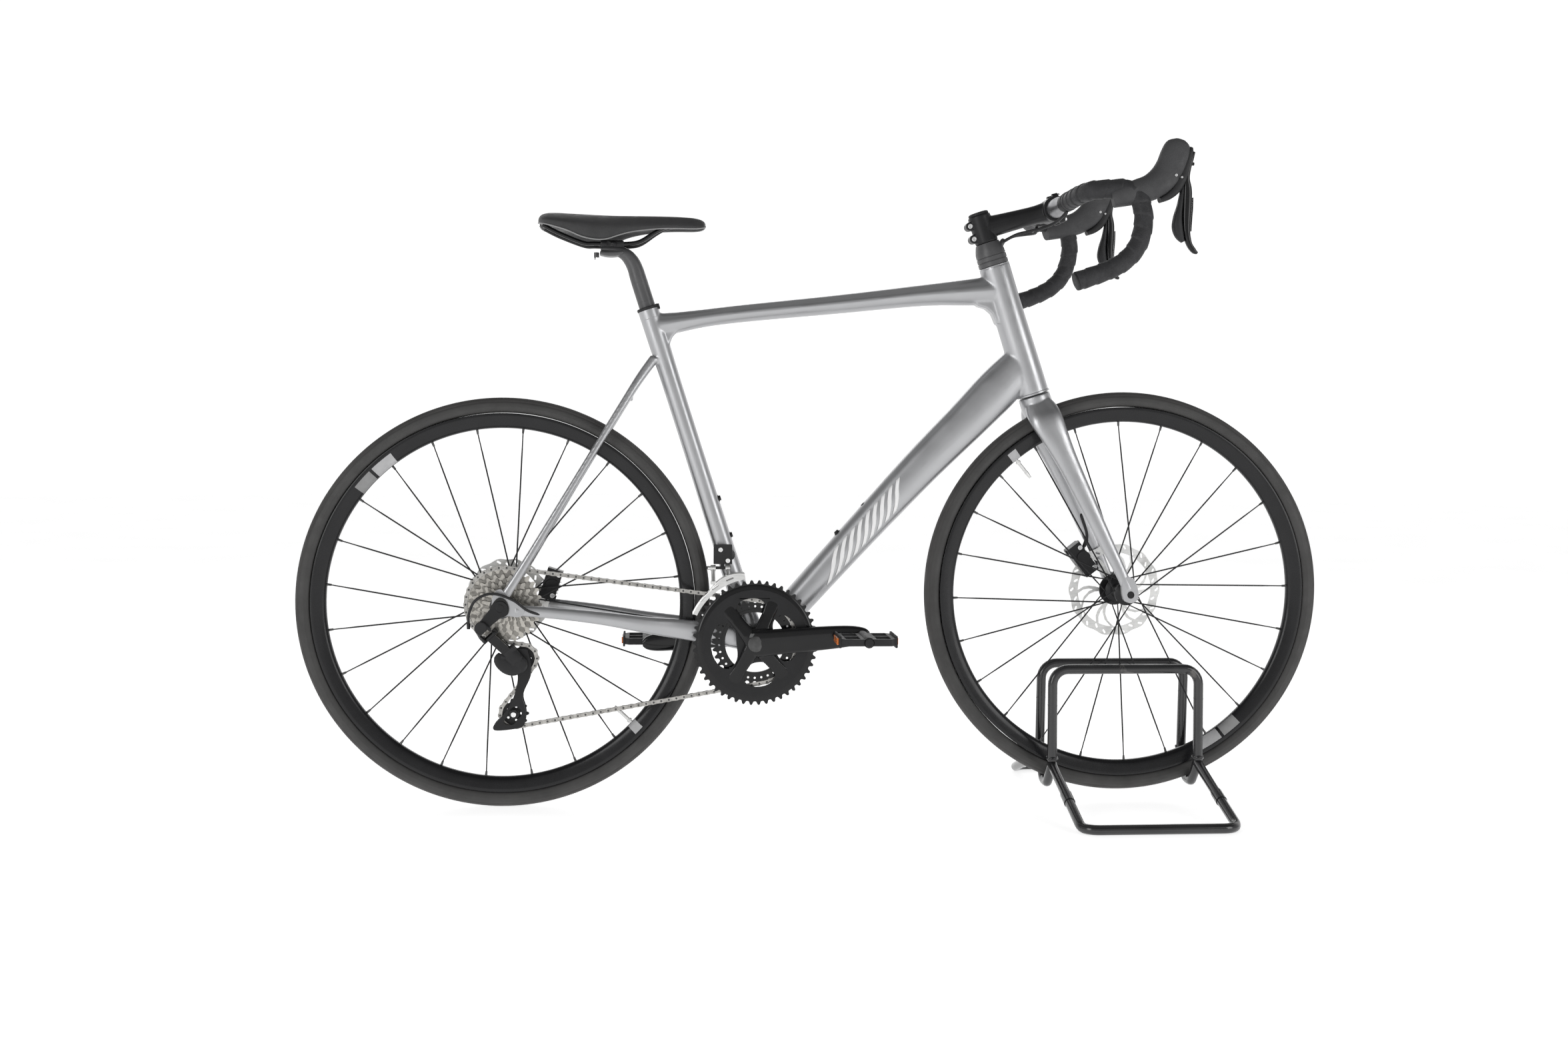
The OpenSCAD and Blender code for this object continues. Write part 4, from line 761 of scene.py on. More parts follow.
# ---------- stand ----------
def stand():
    """Two hoops, two floor loops and two cradle tubes, of one bent tube size."""
    r, half, ridge_y, ridge_z = 8, 125, 45, 72
    corner, sleeve, floor_y, hoop_z, hoop_y = 26, 162, 250, 229, 39

    def leg_z(y):
        return ridge_z - 3 + (r + 2 - ridge_z + 3) * (y - ridge_y) / (floor_y - 20 - ridge_y)

    def corner_pts(end):
        return [(-half + corner * (1 - cos(a)), end - corner * (1 - sin(a)))
                for a in (radians(11.25 * k) for k in range(9))]

    def both(pts):
        return pts + [(-x, y) for x, y in pts[::-1]]

    x0 = FRONT.x
    foot = ridge_z + r + 1
    lean = (ridge_y - 1 - hoop_y) / (hoop_z - foot)
    for name, side in (("right", -1), ("left", 1)):
        s = Shape()
        outline = both([(-half, foot - 6), (-half, foot + 90)] + corner_pts(hoop_z))
        s.tube([(x0 + x, side * (hoop_y + lean * (hoop_z - z)), z) for x, z in outline],
               r, 24)
        for e, z in ((-1, 169), (1, 179)):
            y = side * (hoop_y + lean * (hoop_z - z))
            s.rod((x0 + e * half, y - side * 0.2, z - 0.6),
                  (x0 + e * half, y + side * 0.2, z + 0.6), r + 0.25, n=24)
            y = side * (hoop_y + lean * (hoop_z - foot))
            bead = [(x0 + e * half + (r + 0.6) * cos(t), y + (r + 0.6) * sin(t),
                     foot - 0.5 + 1.1 * sin(3 * t))
                    for t in (tau * k / 40 for k in range(40))]
            s.tube(bead, 2.0, 8, (0, 0, 1), loop=True)
        make(f"hoop_{name}_skin", s, "stand", [STAND], f"stand_hoop_{name}",
             angle=40)
        s = Shape()
        outline = both([(-half, sleeve), (-half, sleeve + 26)] + corner_pts(floor_y))
        pts = [(x0 + x, side * y, max(r, leg_z(y))) for x, y in outline]
        s.tube(pts, r, 24)
        make(f"floor_loop_{name}_skin", s, "stand", [STAND],
             f"stand_floor_loop_{name}", angle=40)
    s = Shape()
    valley = FRONT.z - ((WHEEL_R + r + 1) ** 2 - half ** 2) ** 0.5
    for x in (-half, half):
        pts = [(-sleeve, leg_z(sleeve)), (-110, leg_z(110)), (-ridge_y - 9, ridge_z - 5.5),
               (-ridge_y - 2, ridge_z - 1.5), (-ridge_y + 5, ridge_z - 4),
               (-30, (ridge_z - 5 + valley) / 2 + 4), (-16, valley + 4), (-9, valley + 0.6)]
        pts = pts + [(0, valley)] + [(-a, b) for a, b in pts[::-1]]
        s.tube([(x0 + x, y, z) for y, z in smooth(pts, 4)], r, 24, (1, 0, 0))
        for sgn in (-1, 1):
            y0, y1 = sleeve - 24, sleeve + 1
            s.rod((x0 + x, sgn * y0, leg_z(y0)), (x0 + x, sgn * y1, leg_z(y1)), r + 1.3, n=24)
    make("cradle_skin", s, "stand", [STAND], "stand_cradle_tubes",
         bevel=0.4, angle=40)


# ---------- handlebar, stem and levers ----------
BAR_PTS = [(0, -30, 0), (0, -80, 0), (0, -130, 0.5), (3, -175, 2), (14, -204, 4),
           (38, -214, 5), (62, -217, 5), (79, -220, -7), (87, -223, -30), (86, -226, -56),
           (77, -228, -84), (58, -229, -106), (30, -230, -122), (-17, -230, -139)]


def evenly(path, step):
    """The same path with its points about step apart."""
    pts = [V(p) for p in path]
    lengths = [0.0]
    for a, b in zip(pts, pts[1:]):
        lengths.append(lengths[-1] + (b - a).length)
    count = max(2, round(lengths[-1] / step))
    out, j = [], 0
    for i in range(count + 1):
        d = lengths[-1] * i / count
        while j < len(pts) - 2 and lengths[j + 1] < d:
            j += 1
        span = lengths[j + 1] - lengths[j]
        out.append(pts[j].lerp(pts[j + 1], (d - lengths[j]) / span if span else 0))
    return out


def cockpit():
    """Headset cover, stem and its bolts, bare bar and the wrapped tape."""
    top = HEAD_LEN + 39.5
    z = HEAD_LEN
    s = Shape(ON_STEERER)
    s.lathe([(14.5, z + 0.4), (24.6, z + 0.4), (25.1, z + 1), (25.1, z + 7.4), (23.9, z + 7.8),
             (23.9, z + 8.8), (25.0, z + 9.2), (25.0, z + 15.4), (23.8, z + 15.8), (23.8, z + 16.8),
             (24.8, z + 17), (24.4, z + 24), (22.8, z + 30), (20.8, z + 36), (19.6, z + 39),
             (14.5, z + 39.2)], 64, True)
    s.tube([(14, 0, z + 22), (21, 0, z + 30), (27, 0, z + 35), (29, 0, z + 36.5)],
           [(9, 5), (8, 5), (7, 4.4), (6, 3.4)], 20)
    make("headset_cover_skin", s, "front_end", [POST], "headset_cover",
         bevel=0.25)

    s = Shape(ON_STEERER)
    s.lathe([(10, top), (18.6, top), (19, top + 2), (19, top + 45), (18.4, top + 47),
             (10, top + 47)], 40)
    rows_ = [(0, 0, 290, 18, 19), (20, 0, 289, 17.2, 17.6), (50, 0, 287.5, 16.2, 16.2),
             (85, 0, 285.6, 16.8, 15.4), (104, 0, 284.6, 20, 16.6), (118, 0, 284, 23, 19.5)]
    s.rows(rows_, 5, 28, 2.6)
    s.at = ON_STEERER @ move(STEM_REACH, 0, STEM_UP) @ turn(pi / 2, "X")
    s.lathe([(8, -23.5), (20.6, -23.5), (21, -22.5), (21, 22.5), (20.6, 23.5), (8, 23.5)], 40)
    s.at = ON_STEERER
    for z in (top + 12, top + 34):
        s.at = ON_STEERER @ move(-21, 0, z) @ turn(pi / 2, "X")
        s.lathe([(3, -10.5), (6.8, -10.5), (7.2, -9), (7.2, 9), (6.8, 10.5), (3, 10.5)], 24)
        s.at = ON_STEERER
        s.box((-21, -10, z - 6.2), (14, 20, 12.4))
    skin = melt(s, 1.0, 4)
    dress("stem_skin", skin, "front_end", [SATIN], "stem", angle=50)

    s = Shape(ON_STEERER)
    arc = [radians(a) for a in range(-76, 77, 8)]
    s.tube([(STEM_REACH + 19.2 * cos(a), 0, STEM_UP + 19.2 * sin(a)) for a in arc],
           [(23.4, 3.0)] * len(arc), 24, power=7)
    for y in (-16.5, 16.5):
        for sg in (-1, 1):
            s.rod((123.5, y, STEM_UP + sg * 20), (133, y, STEM_UP + sg * 20), 5.4, 5.0, 20)
    make("faceplate_skin", s, "front_end", [SATIN], "stem_faceplate", bevel=0.7)

    s = Shape(ON_STEERER)
    s.lathe([(2, top + 47.2), (16.6, top + 47.2), (17.2, top + 48.4), (16.6, top + 51),
             (14.6, top + 52.2), (5, top + 52.2), (2, top + 51.4)], 40, True)
    s.mat = 1
    s.bolt(move(0, 0, top + 50.6), 4.6, 2.2)
    for y in (-16.5, 16.5):
        for sg in (-1, 1):
            s.bolt(move(133, y, STEM_UP + sg * 20) @ turn(pi / 2, "Y"), 3.7, 3.2)
    for z in (top + 12, top + 34):
        s.bolt(move(-21, -10.2, z) @ turn(pi / 2, "X"), 4.2, 2.4)
        s.rod((-21, 10.2, z), (-21, 12, z), 4.0, 3.6, 20)
    make("stem_bolts", s, "front_end", [PLASTIC, BRIGHT], "stem_hardware",
         bevel=0.15)

    # bare bar beside the stem, then the wrapped tape
    s = Shape()
    centre = [(BAR.x, y, BAR.z) for y in (-110, -64, -56, -48, 48, 56, 64, 110)]
    s.tube(centre, [(12, 12), (12, 12), (13.8, 13.8), (15.9, 15.9), (15.9, 15.9),
                    (13.8, 13.8), (12, 12), (12, 12)], 40, (1, 0, 0))
    make("bar_skin", s, "front_end", [BARE], "handlebar", angle=40)

    s = Shape()
    for side in (-1, 1):
        route = evenly([V(BAR) + V((x, -side * y, z)) for x, y, z in smooth(BAR_PTS, 12)], 1.6)
        first = next(i for i, p in enumerate(route) if abs(p.y) > 92)
        route = route[first:]
        n, wrap, rings = 40, 21.0, []
        t0 = V((1, 0, 0))
        for i, p in enumerate(route):
            t = (route[min(i + 1, len(route) - 1)] - route[max(i - 1, 0)]).normalized()
            t0 = (t0 - t * t0.dot(t)).normalized()
            u = t.cross(t0)
            ring = []
            for k in range(n):
                turns = (i * 1.6 / wrap - side * k / n) % 1.0
                edge = 1.0 if turns < 0.86 else (1 - turns) / 0.14
                r = 13.5 + 1.75 * edge * (0.35 + 0.65 * turns / 0.86 if turns < 0.86 else 1)
                a = tau * k / n
                ring.append(p + t0 * (r * cos(a)) + u * (r * sin(a)))
            rings.append(ring)
        s.mat = 0
        s.loft(rings)
        end = route[-1]
        back = (route[-1] - route[-2]).normalized()
        s.mat = 1
        prof = ((13.6, -1), (14.4, 0.4), (13.9, 2.6), (11.5, 3.6), (6, 3.9), (0.2, 3.9))
        s.tube([end + back * z for _, z in prof], [(r, r) for r, _ in prof], 32,
               (1, 0, 0) if abs(back.x) < 0.9 else (0, 1, 0))
        a, b = route[0], route[12]
        s.tube([a + (b - a) * t for t in (-0.25, -0.22, 0.9, 1.0)],
               [(12.4, 12.4), (14.9, 14.9), (15.6, 15.6), (14.6, 14.6)], 40, (1, 0, 0))
    make("bar_tape_skin", s, "front_end", [TAPE, PLASTIC], "bar_tape", angle=34)


def levers():
    """Hoods, brake blades and shift paddles."""
    for name, side in (("right", -1), ("left", 1)):
        y = side * LEVER_Y
        s = Shape()
        s.rows([(430, side * 215, 986, 14.6, 14.4), (446, side * 217, 990.5, 16.4, 16.6),
                (468, side * 216, 997, 17, 19), (490, side * 214.5, 1004.5, 17, 20.5),
                (509, y, 1018, 16.6, 22.4), (521, y, 1035, 16, 23), (528, y, 1052, 15.6, 23.4),
                (532, y, 1065, 14.6, 21.4), (535, y, 1073.5, 11.6, 16.4),
                (536.5, y, 1078.6, 6, 8)], 6, 32, 2.35)
        make(f"hood_{name}_skin", s, "front_end", [RUBBER], f"hood_{name}",
             angle=60)
        s = Shape()
        s.rows([(505, y, 985, 9, 4), (519, y, 992, 10.5, 6), (531, y, 1004, 11, 7.5),
                (540, y, 1022, 11.4, 7.4), (546, y, 1042, 11.4, 6), (551, y, 1060, 10, 5),
                (553, y, 1067, 6, 3)], 5, 24, 3)
        s.mat = 1
        for x, z, r in ((526, 1022, 2.6), (535, 1019, 2.0)):
            for sg in (-1, 1):
                s.rod((x, y + sg * 13, z), (x, y + sg * 16.9, z), r, r * 0.85, 16)
        make(f"hood_body_{name}", s, "front_end", [PLASTIC, BRIGHT], (), bevel=0.3)

        s = Shape()
        s.rows([(557.5, y, 1060, 5.5, 2.6), (553.5, y, 1050, 7.4, 4.4), (549, y, 1036, 7.8, 5),
                (546.5, y, 1019, 8, 5.6), (548.5, y, 1001, 8.2, 7.4), (548.5, y, 978, 8, 7.6),
                (548, y, 956, 7.4, 7), (549, y, 936, 6.4, 5.8), (553.5, y, 919, 5.6, 4.6),
                (561, y, 908.5, 5.2, 4), (566.5, y, 905, 3.4, 2)], 6, 24, 2.5)
        # a thin strip of bright steel down the blade's front: a painted highlight
        s.mat = 1
        s.rows([(557.4, y, 990, 4.6, 0.6), (557.2, y, 975, 5.2, 0.7),
                (556.2, y, 955, 4.8, 0.7), (555.8, y, 938, 3.6, 0.6)], 4, 12, 3)
        make(f"lever_{name}_skin", s, f"lever_blade_{name}", [GLOSS, BRIGHT],
             f"lever_blade_{name}", angle=50)
        s = Shape()
        s.rows([(541.5, y, 1010, 4.6, 2.6), (540, y, 996, 5.8, 3.0), (537.5, y, 978, 7, 4.2),
                (534.4, y, 960, 8.6, 6.4), (534.2, y, 944, 9, 8), (538, y, 931, 8, 6.4),
                (543.5, y, 922, 5, 2.6)], 6, 20, 2.6)
        make(f"paddle_{name}_skin", s, f"shift_paddle_{name}", [PLASTIC],
             f"shift_paddle_{name}", angle=50)
        refine(f"lever_bracket_{name}", [PLASTIC], 0.8)


def hose(s, pts, r, n=12):
    """A hose of radius r through the points."""
    s.tube(evenly(smooth(pts, 8), 3.0), r, n, (0.1, 1, 0.2))


def cables():
    """Brake hoses at the bar and fork, and the shift housing loop."""
    s = Shape()
    for side in (-1, 1):
        hose(s, [V(BAR) + V((x, side * y, z)) for x, y, z in
                 ((-2, 104, -14.8), (-6, 92, -22), (-12, 70, -29), (-24, 44, -34),
                  (-42, 26, -38), (-64, 15, -43), (-84, 9, -54))], 2.5)
    hose(s, [(456, 43, 492), (458, 37.5, 482), (462, 35.5, 470), (467, 36.5, 455),
             (468, 38.5, 442), (462, 39.5, 427)], 2.5)
    s.rod((468, 38.5, 442), (463.5, 39.3, 430), 3.6, 3.2, 16)
    make("front_hoses", s, "front_end", [PLASTIC], "front_cables", angle=60)
    s = Shape()
    loop = [REAR + V(p) for p in
            ((150, -49, -24), (110, -58, -20), (70, -70, -13), (44, -82, -4), (20, -88, 14),
             (-12, -89, 24), (-38, -88, 14), (-49, -86, -8), (-50, -84, -24))]
    hose(s, loop, 2.2)
    s.mat = 1
    s.rod(loop[-1], loop[-1] - V((0, 0, 9)), 3.2, 2.6, 16)
    s.rod(loop[0], loop[0] + V((9, 3, -1)), 3.2, 2.8, 16)
    make("rear_housing", s, "frame", [PLASTIC, SATIN], "rear_cables", angle=50)


def brakes():
    """Calipers and axles with eased edges, and the calipers' small parts."""
    for end, body in (("front", "front_end"), ("rear", "frame")):
        refine(end + "_caliper", [SATIN], 1.4)
        refine(end + "_thru_axle", [SATIN], 0.6)
    spec = (("front", FRONT + V((-62, FRONT_ROTOR_Y, 50)), 128, 58, 1),
            ("rear", REAR + V((69, REAR_ROTOR_Y, 28)), 252, 52, -1))
    for end, c, a, length, flip in spec:
        body = "front_end" if end == "front" else "frame"
        s = Shape(move(c) @ turn(pi / 2, "X") @ turn(radians(a), "Z")
                  @ Matrix.Diagonal((1, flip, 1, 1)))
        for x in (-length / 2 + 7, length / 2 - 9):
            for sg in (-1, 1):
                s.rod((x, -12, sg * 13), (x, -12, sg * 15.4), 4.4, 3.9, 20)
        s.mat = 1
        s.rod((-length / 2 + 13, -4, -13), (-length / 2 + 13, -4, -16.5), 5.2, 4.6, 20)
        s.rod((2, -7, -15.4), (2, -7, -17.2), 8.6, 7.8, 28)
        s.mat = 0
        for k in range(5):
            s.box((-9 + 5 * k, -19.5, -8), (2.0, 6, 16))
        make(end + "_caliper_trim", s, body, [BRIGHT, SATIN], (), bevel=0.3)


# ---------- crank set, cassette and chain ----------
def pitch_r(teeth):
    """Pitch radius of a sprocket."""
    return PITCH / (2 * sin(pi / teeth))


def teeth_loop(teeth, tip=2.0, root=-3.9):
    """Outline of a toothed wheel."""
    shape = ((-0.5, root), (-0.36, root + 0.2), (-0.27, root + 1.5), (-0.18, tip - 1.6),
             (-0.11, tip - 0.4), (-0.05, tip), (0.05, tip), (0.11, tip - 0.4),
             (0.18, tip - 1.6), (0.27, root + 1.5), (0.36, root + 0.2))
    r, step = pitch_r(teeth), tau / teeth
    return [((r + d) * cos(step * (i + f)), (r + d) * sin(step * (i + f)))
            for i in range(teeth) for f, d in shape]


def window(c, half, r0, r1, n=36, power=2.5):
    """Rounded opening round direction c, from radius r0 to r1."""
    mid, span = (r0 + r1) / 2, (r1 - r0) / 2
    pts = []
    for k in range(n):
        t = tau * k / n
        r = mid + span * bent(cos(t), power)
        a = radians(c + half * bent(sin(t), power))
        pts.append((r * cos(a), r * sin(a)))
    return pts


def crank_set():
    """Chainrings, spider, both arms and the axle."""
    windows = ((185, 41, 31, 73), (98, 25, 31, 74), (277, 26, 32, 73), (9, 42, 33, 72))
    s = Shape(axle(BB, OUTER_Y))
    s.plate([teeth_loop(50), circle(84, 96)], -1.1, 1.1)
    s.mat = 1
    s.lathe([(84, -1.6), (94.5, -1.6), (95.5, -0.9), (95.4, 1.8), (93, 3.0), (86, 3.4),
             (84, 3.0)], 120, True)
    s.mat = 2
    s.plate([circle(88, 120)] + [window(*w) for w in windows], 1.2, 5.6)
    s.mat = 3
    for a in (60, 125.6, 152, 242, 307.5):
        p = V((98.2 * cos(radians(a)), 98.2 * sin(radians(a)), 0))
        s.rod(p, p + V((0, 0, 2.4)), 1.7, 1.4, 14)
    make("outer_ring_skin", s, "crank", [GLOSS, GLOSS, SATIN, BRIGHT],
         "outer_chainring", bevel=0.45, angle=38)
    s = Shape(axle(BB, INNER_Y))
    holes = [circle(1.9, 10, ((pitch_r(34) - 9.5) * cos(tau * (k + 0.5) / 34),
                              (pitch_r(34) - 9.5) * sin(tau * (k + 0.5) / 34)))
             for k in range(34)]
    s.plate([teeth_loop(34), circle(50, 80)] + holes, -1, 1)
    s.lathe([(49.5, -1.6), (55, -1.6), (55, 2.6), (49.5, 2.6)], 80, True)
    for a in SPIDER:
        p = V((55 * cos(radians(a)), 55 * sin(radians(a)), 0))
        s.rod(p + V((0, 0, -2.6)), p + V((0, 0, 7)), 5.4, 5.4, 20)
    make("inner_ring_skin", s, "crank", [GLOSS], "inner_chainring", bevel=0.2)

    # right arm and its four-legged spider
    s = Shape(axle(BB) @ turn(CRANK_ANGLE, "Z"))
    s.rows([(-16, 0, 55.5, 15, 5), (0, 0, 58, 22, 9.5), (26, 0, 61, 21.5, 9.5),
            (60, 0, 63.5, 20.6, 8.6), (110, 0, 67, 19.6, 8.0), (145, 0, 69.5, 18, 7.8),
            (165, 0, 71, 15.5, 7.5), (180, 0, 72, 11, 7), (186.5, 0, 72, 5, 5.5)],
           7, 28, 3.2)
    s.at = axle(BB)
    for a in SPIDER:
        d = V((cos(radians(a)), sin(radians(a)), 0))
        legs = [(4, 57, 15, 7.5), (20, 56, 13, 7), (36, 54.6, 11, 5), (50, 52.6, 10.4, 3.6),
                (66, 51.4, 11.5, 2.6), (80, 50.6, 13.5, 1.8)]
        pts = [d * r + V((0, 0, z)) for r, z, _, _ in legs]
        s.tube([tuple(p) for p in pts], [(w, h) for _, _, w, h in legs], 24,
               (-d.y, d.x, 0), 3.0)
    skin = melt(s, 1.1, 5)
    dress("crank_right_skin", skin, "crank", [GLOSS], "crank_right", angle=50)
    s = Shape(axle(BB))
    s.rod((0, 0, -70), (0, 0, 68), 11.9, n=32)
    s.lathe([(10, 66.5), (13, 67.5), (13, 68.2), (10, 69)], 32)
    s.at = axle(BB) @ turn(CRANK_ANGLE, "Z")
    s.mat = 1
    for sg, x in ((1, CRANK_LEN), (-1, -CRANK_LEN)):
        s.rod((x, 0, sg * 66), (x, 0, sg * 84), 5.2, n=20)
        s.rod((x, 0, sg * 80), (x, 0, sg * 84), 8.0, n=6)
    make("crank_axle", s, "crank", [DARK, STEEL], (), bevel=0.3)

    s = Shape(axle(BB) @ turn(CRANK_ANGLE, "Z"))
    s.rows([(14, 0, -56, 14, 5), (2, 0, -60, 20, 9), (-24, 0, -62, 18.5, 9),
            (-70, 0, -64.5, 17, 8), (-120, 0, -68, 16.4, 7.8), (-160, 0, -71, 15, 7.5),
            (-178, 0, -72, 11, 7), (-185.5, 0, -72, 5, 5.5)], 7, 28, 3.0)
    s.mat = 1
    s.ring(11.5, 4, -71.5, -69, 36, 0.5)
    for x in (-9, -22):
        s.rod((x, 19, -60), (x, 21.5, -60), 3.6, 3.2, 16)
    make("crank_left_skin", s, "crank", [GLOSS, DARK], "crank_left", bevel=0.4,
         angle=50)


def pedal(name, c, side):
    """Platform pedal: toothed cage, axle barrel and a reflector at each end."""
    def yy(a, b):
        return sorted((side * a, side * b))

    s = Shape(move(c.x, 0, c.z))
    y0, y1 = yy(88, 174)
    outline = [(-44, y0 + 9), (-36, y0), (36, y0), (44, y0 + 9), (44, y1 - 9), (36, y1),
               (-36, y1), (-44, y1 - 9)]
    wins = []
    for xa, xb in ((-36, -13), (13, 36)):
        for f0, f1 in ((0.08, 0.46), (0.54, 0.92)):
            a, b = y0 + (y1 - y0) * f0, y0 + (y1 - y0) * f1
            wins.append([(xa, a), (xb, a), (xb, b), (xa, b)])
    s.plate([outline] + wins, -5.5, 5.5)
    for x0, x1 in ((-46.5, -43), (43, 46.5)):
        s.box((x0, y0 + 8, -8), (x1 - x0, y1 - y0 - 16, 16))
        for k in range(9):
            yk = y0 + 11 + (y1 - y0 - 22) * k / 8
            for zz in (-9.4, 6.6):
                s.box((x0, yk - 2, zz), (x1 - x0, 4, 2.8))
    s.rod((0, side * 82, 0), (0, side * 92, 0), 8.4, 9.4, 28)
    s.rod((0, side * 92, 0), (0, side * 174, 0), 9.4, 8.6, 28)
    s.rod((0, side * 173, 0), (0, side * 177, 0), 7.6, 6.4, 28)
    s.mat = 1
    for x in (-49, 46.2):
        s.box((x, (y0 + y1) / 2 - 23, -5.4), (2.8, 46, 10.8))
    make(f"pedal_{name}_skin", s, f"pedal_{name}", [PLASTIC, ORANGE], f"pedal_{name}",
         bevel=0.6)


def cassette():
    """Eleven sprockets, every other one in a darker copy of the same steel as painted shade, with their
    core and lockring.
    """
    s = Shape(axle(REAR))
    for i, teeth in enumerate(COGS):
        z, r = -BIG_COG_Y + COG_STEP * i, pitch_r(teeth)
        loops = [teeth_loop(teeth), circle(16.5, 40)]
        if teeth >= 19:
            count = 10 if teeth > 24 else 8
            r_in, r_out = 22.0, r - 8.5
            if r_out - r_in > 6:
                loops += [slot_loop(((r_in + r_out) / 2 * cos(a), (r_in + r_out) / 2 * sin(a)),
                                    a + 0.35, r_out - r_in, 7.5, 6)
                          for a in (tau * (k + 0.2 * i) / count for k in range(count))]
        s.at = axle(REAR, -z)
        # every other cog takes the darker copy of the steel: painted shade between the cogs
        s.mat = 2 * (i % 2)
        s.plate(loops, -0.8, 0.8)
    s.at = axle(REAR)
    s.mat = 1
    s.ring(19, 10.1, 22, 66.5, 48, 0.5)
    s.ring(17.5, 10.1, 66.4, 69.3, 40, 0.4)
    make("cassette_skin", s, "cassette", [COG, DARK, COG_PAINTED_SHADE], "cassette", bevel=0.12)


def chain():
    """Links laid at the chain's pitch round the sprockets and pulleys."""
    wheels = [(V((REAR.x, BIG_COG_Y, REAR.z)), pitch_r(30)),
              (V((BB.x, INNER_Y, BB.z)), pitch_r(34)), (V(TENSION), pitch_r(11)),
              (V(GUIDE), -pitch_r(11))]
    runs = []
    for i in range(4):
        (a, ra), (b, rb) = wheels[i], wheels[(i + 1) % 4]
        d = b - a
        runs.append(atan2(d.z, d.x) - asin((ra - rb) / hypot(d.x, d.z)))
    path = []
    for i, (c, r) in enumerate(wheels):
        quarter = pi / 2 if r > 0 else -pi / 2
        t0, t1 = runs[i - 1] + quarter, runs[i] + quarter
        span = -((t0 - t1) % tau) if r > 0 else (t1 - t0) % tau
        steps = max(6, int(abs(span) * abs(r) / 2))
        path += [c + abs(r) * V((cos(t0 + span * k / steps), 0, sin(t0 + span * k / steps)))
                 for k in range(steps + 1)]
    path.append(path[0])
    length = sum((b - a).length for a, b in zip(path, path[1:]))
    links = 2 * round(length / PITCH / 2)
    pins = evenly(path, length / links)[:links]
    lobes = []
    for k in range(9):
        a = pi / 2 + 0.55 + (pi - 1.1) * k / 8
        lobes.append((4.1 * cos(a), 4.1 * sin(a)))
    s = Shape()
    for i in range(links):
        p, q = pins[i], pins[(i + 1) % links]
        x = (q - p).normalized()
        z = (V((0, 1, 0)) - x * x.y).normalized()
        y = z.cross(x)
        gap = (q - p).length
        s.at = Matrix([[x[j], y[j], z[j], p[j]] for j in range(3)] + [[0, 0, 0, 1]])
        loop = (lobes + [(gap / 2, -2.9)] + [(gap - u, v) for u, v in lobes[::-1]]
                + [(gap / 2, 2.9)])
        inner = i % 2 == 0
        s.mat = 0
        for sg in (-1, 1):
            m = sg * (1.75 if inner else 2.7)
            s.plate([loop], m - 0.42, m + 0.42)
        s.mat = 1
        s.rod((0, 0, -3.35), (0, 0, 3.35), 1.75, n=10)
        if inner:
            s.rod((0, 0, -1.3), (0, 0, 1.3), 3.8, n=14)
            s.rod((gap, 0, -1.3), (gap, 0, 1.3), 3.8, n=14)
    make("chain_skin", s, "frame", [CHAIN, DARK], "chain", angle=40, weld=False)


# ---------- derailleurs ----------
def front_derailleur():
    """Body and the cage that swings over the rings."""
    refine("front_derailleur", [PLASTIC], 1.2)
    s = Shape()
    for x, z in ((-3, 30), (9, 12)):
        s.bolt(move(FD_PIVOT.x + x, FD_PIVOT.y - 2, FD_PIVOT.z + z) @ turn(pi / 2, "X"), 4, 2.6)
    s.rod((FD_PIVOT.x - 24, FD_PIVOT.y, FD_PIVOT.z), (FD_PIVOT.x - 12, FD_PIVOT.y, FD_PIVOT.z),
          3.4, 3.0, 16)
    make("front_derailleur_trim", s, "frame", [BRIGHT], (), bevel=0.2)
    s = Shape(axle(BB))
    for z, t in ((46.6, 0.65), (32.2, 0.65)):
        loop = []
        for k in range(15):
            a = radians(99 + 56 * k / 14)
            loop.append((112.5 + 6.5 * sin(pi * min(1, (k + 1) / 9)), a))
        inner = [(105.6, radians(99 + 56 * k / 14)) for k in range(14, -1, -1)]
        pts = [(r * cos(a), r * sin(a)) for r, a in loop + inner]
        slots = [slot_loop((112.4 * cos(radians(a)), 112.4 * sin(radians(a))),
                           radians(a + 90), 13, 2.6) for a in (112, 126, 140)]
        s.plate([pts] + slots, z - t, z + t)
        s.tube([((r + 0.3) * cos(a), (r + 0.3) * sin(a), z) for r, a in loop], 1.05, 8,
               (0, 0, 1))
    s.at = Matrix()
    for dx, drop in ((-19, 26), (5, 16)):
        s.box((FD_PIVOT.x + dx, FD_PIVOT.y - 15.3, FD_PIVOT.z - drop), (8, 12.6, 5))
        s.rows([(FD_PIVOT.x + dx + 4, FD_PIVOT.y - 12, FD_PIVOT.z - drop + 3, 3, 3.6),
                (FD_PIVOT.x + dx + 4, FD_PIVOT.y - 6, FD_PIVOT.z - drop / 2, 3, 3.4),
                (FD_PIVOT.x + dx + 4, FD_PIVOT.y, FD_PIVOT.z - 1, 3, 3.6)], 4, 16, 3, (1, 0, 0))
        s.rod((FD_PIVOT.x + dx, FD_PIVOT.y, FD_PIVOT.z),
              (FD_PIVOT.x + dx + 8, FD_PIVOT.y, FD_PIVOT.z), 5, n=24)
    s.box((BB.x - 103, -47, BB.z + 46.5), (5, 15, 1.6))
    make("front_cage_skin", s, "front_derailleur_cage", [STEEL], "front_derailleur_cage",
         bevel=0.25)


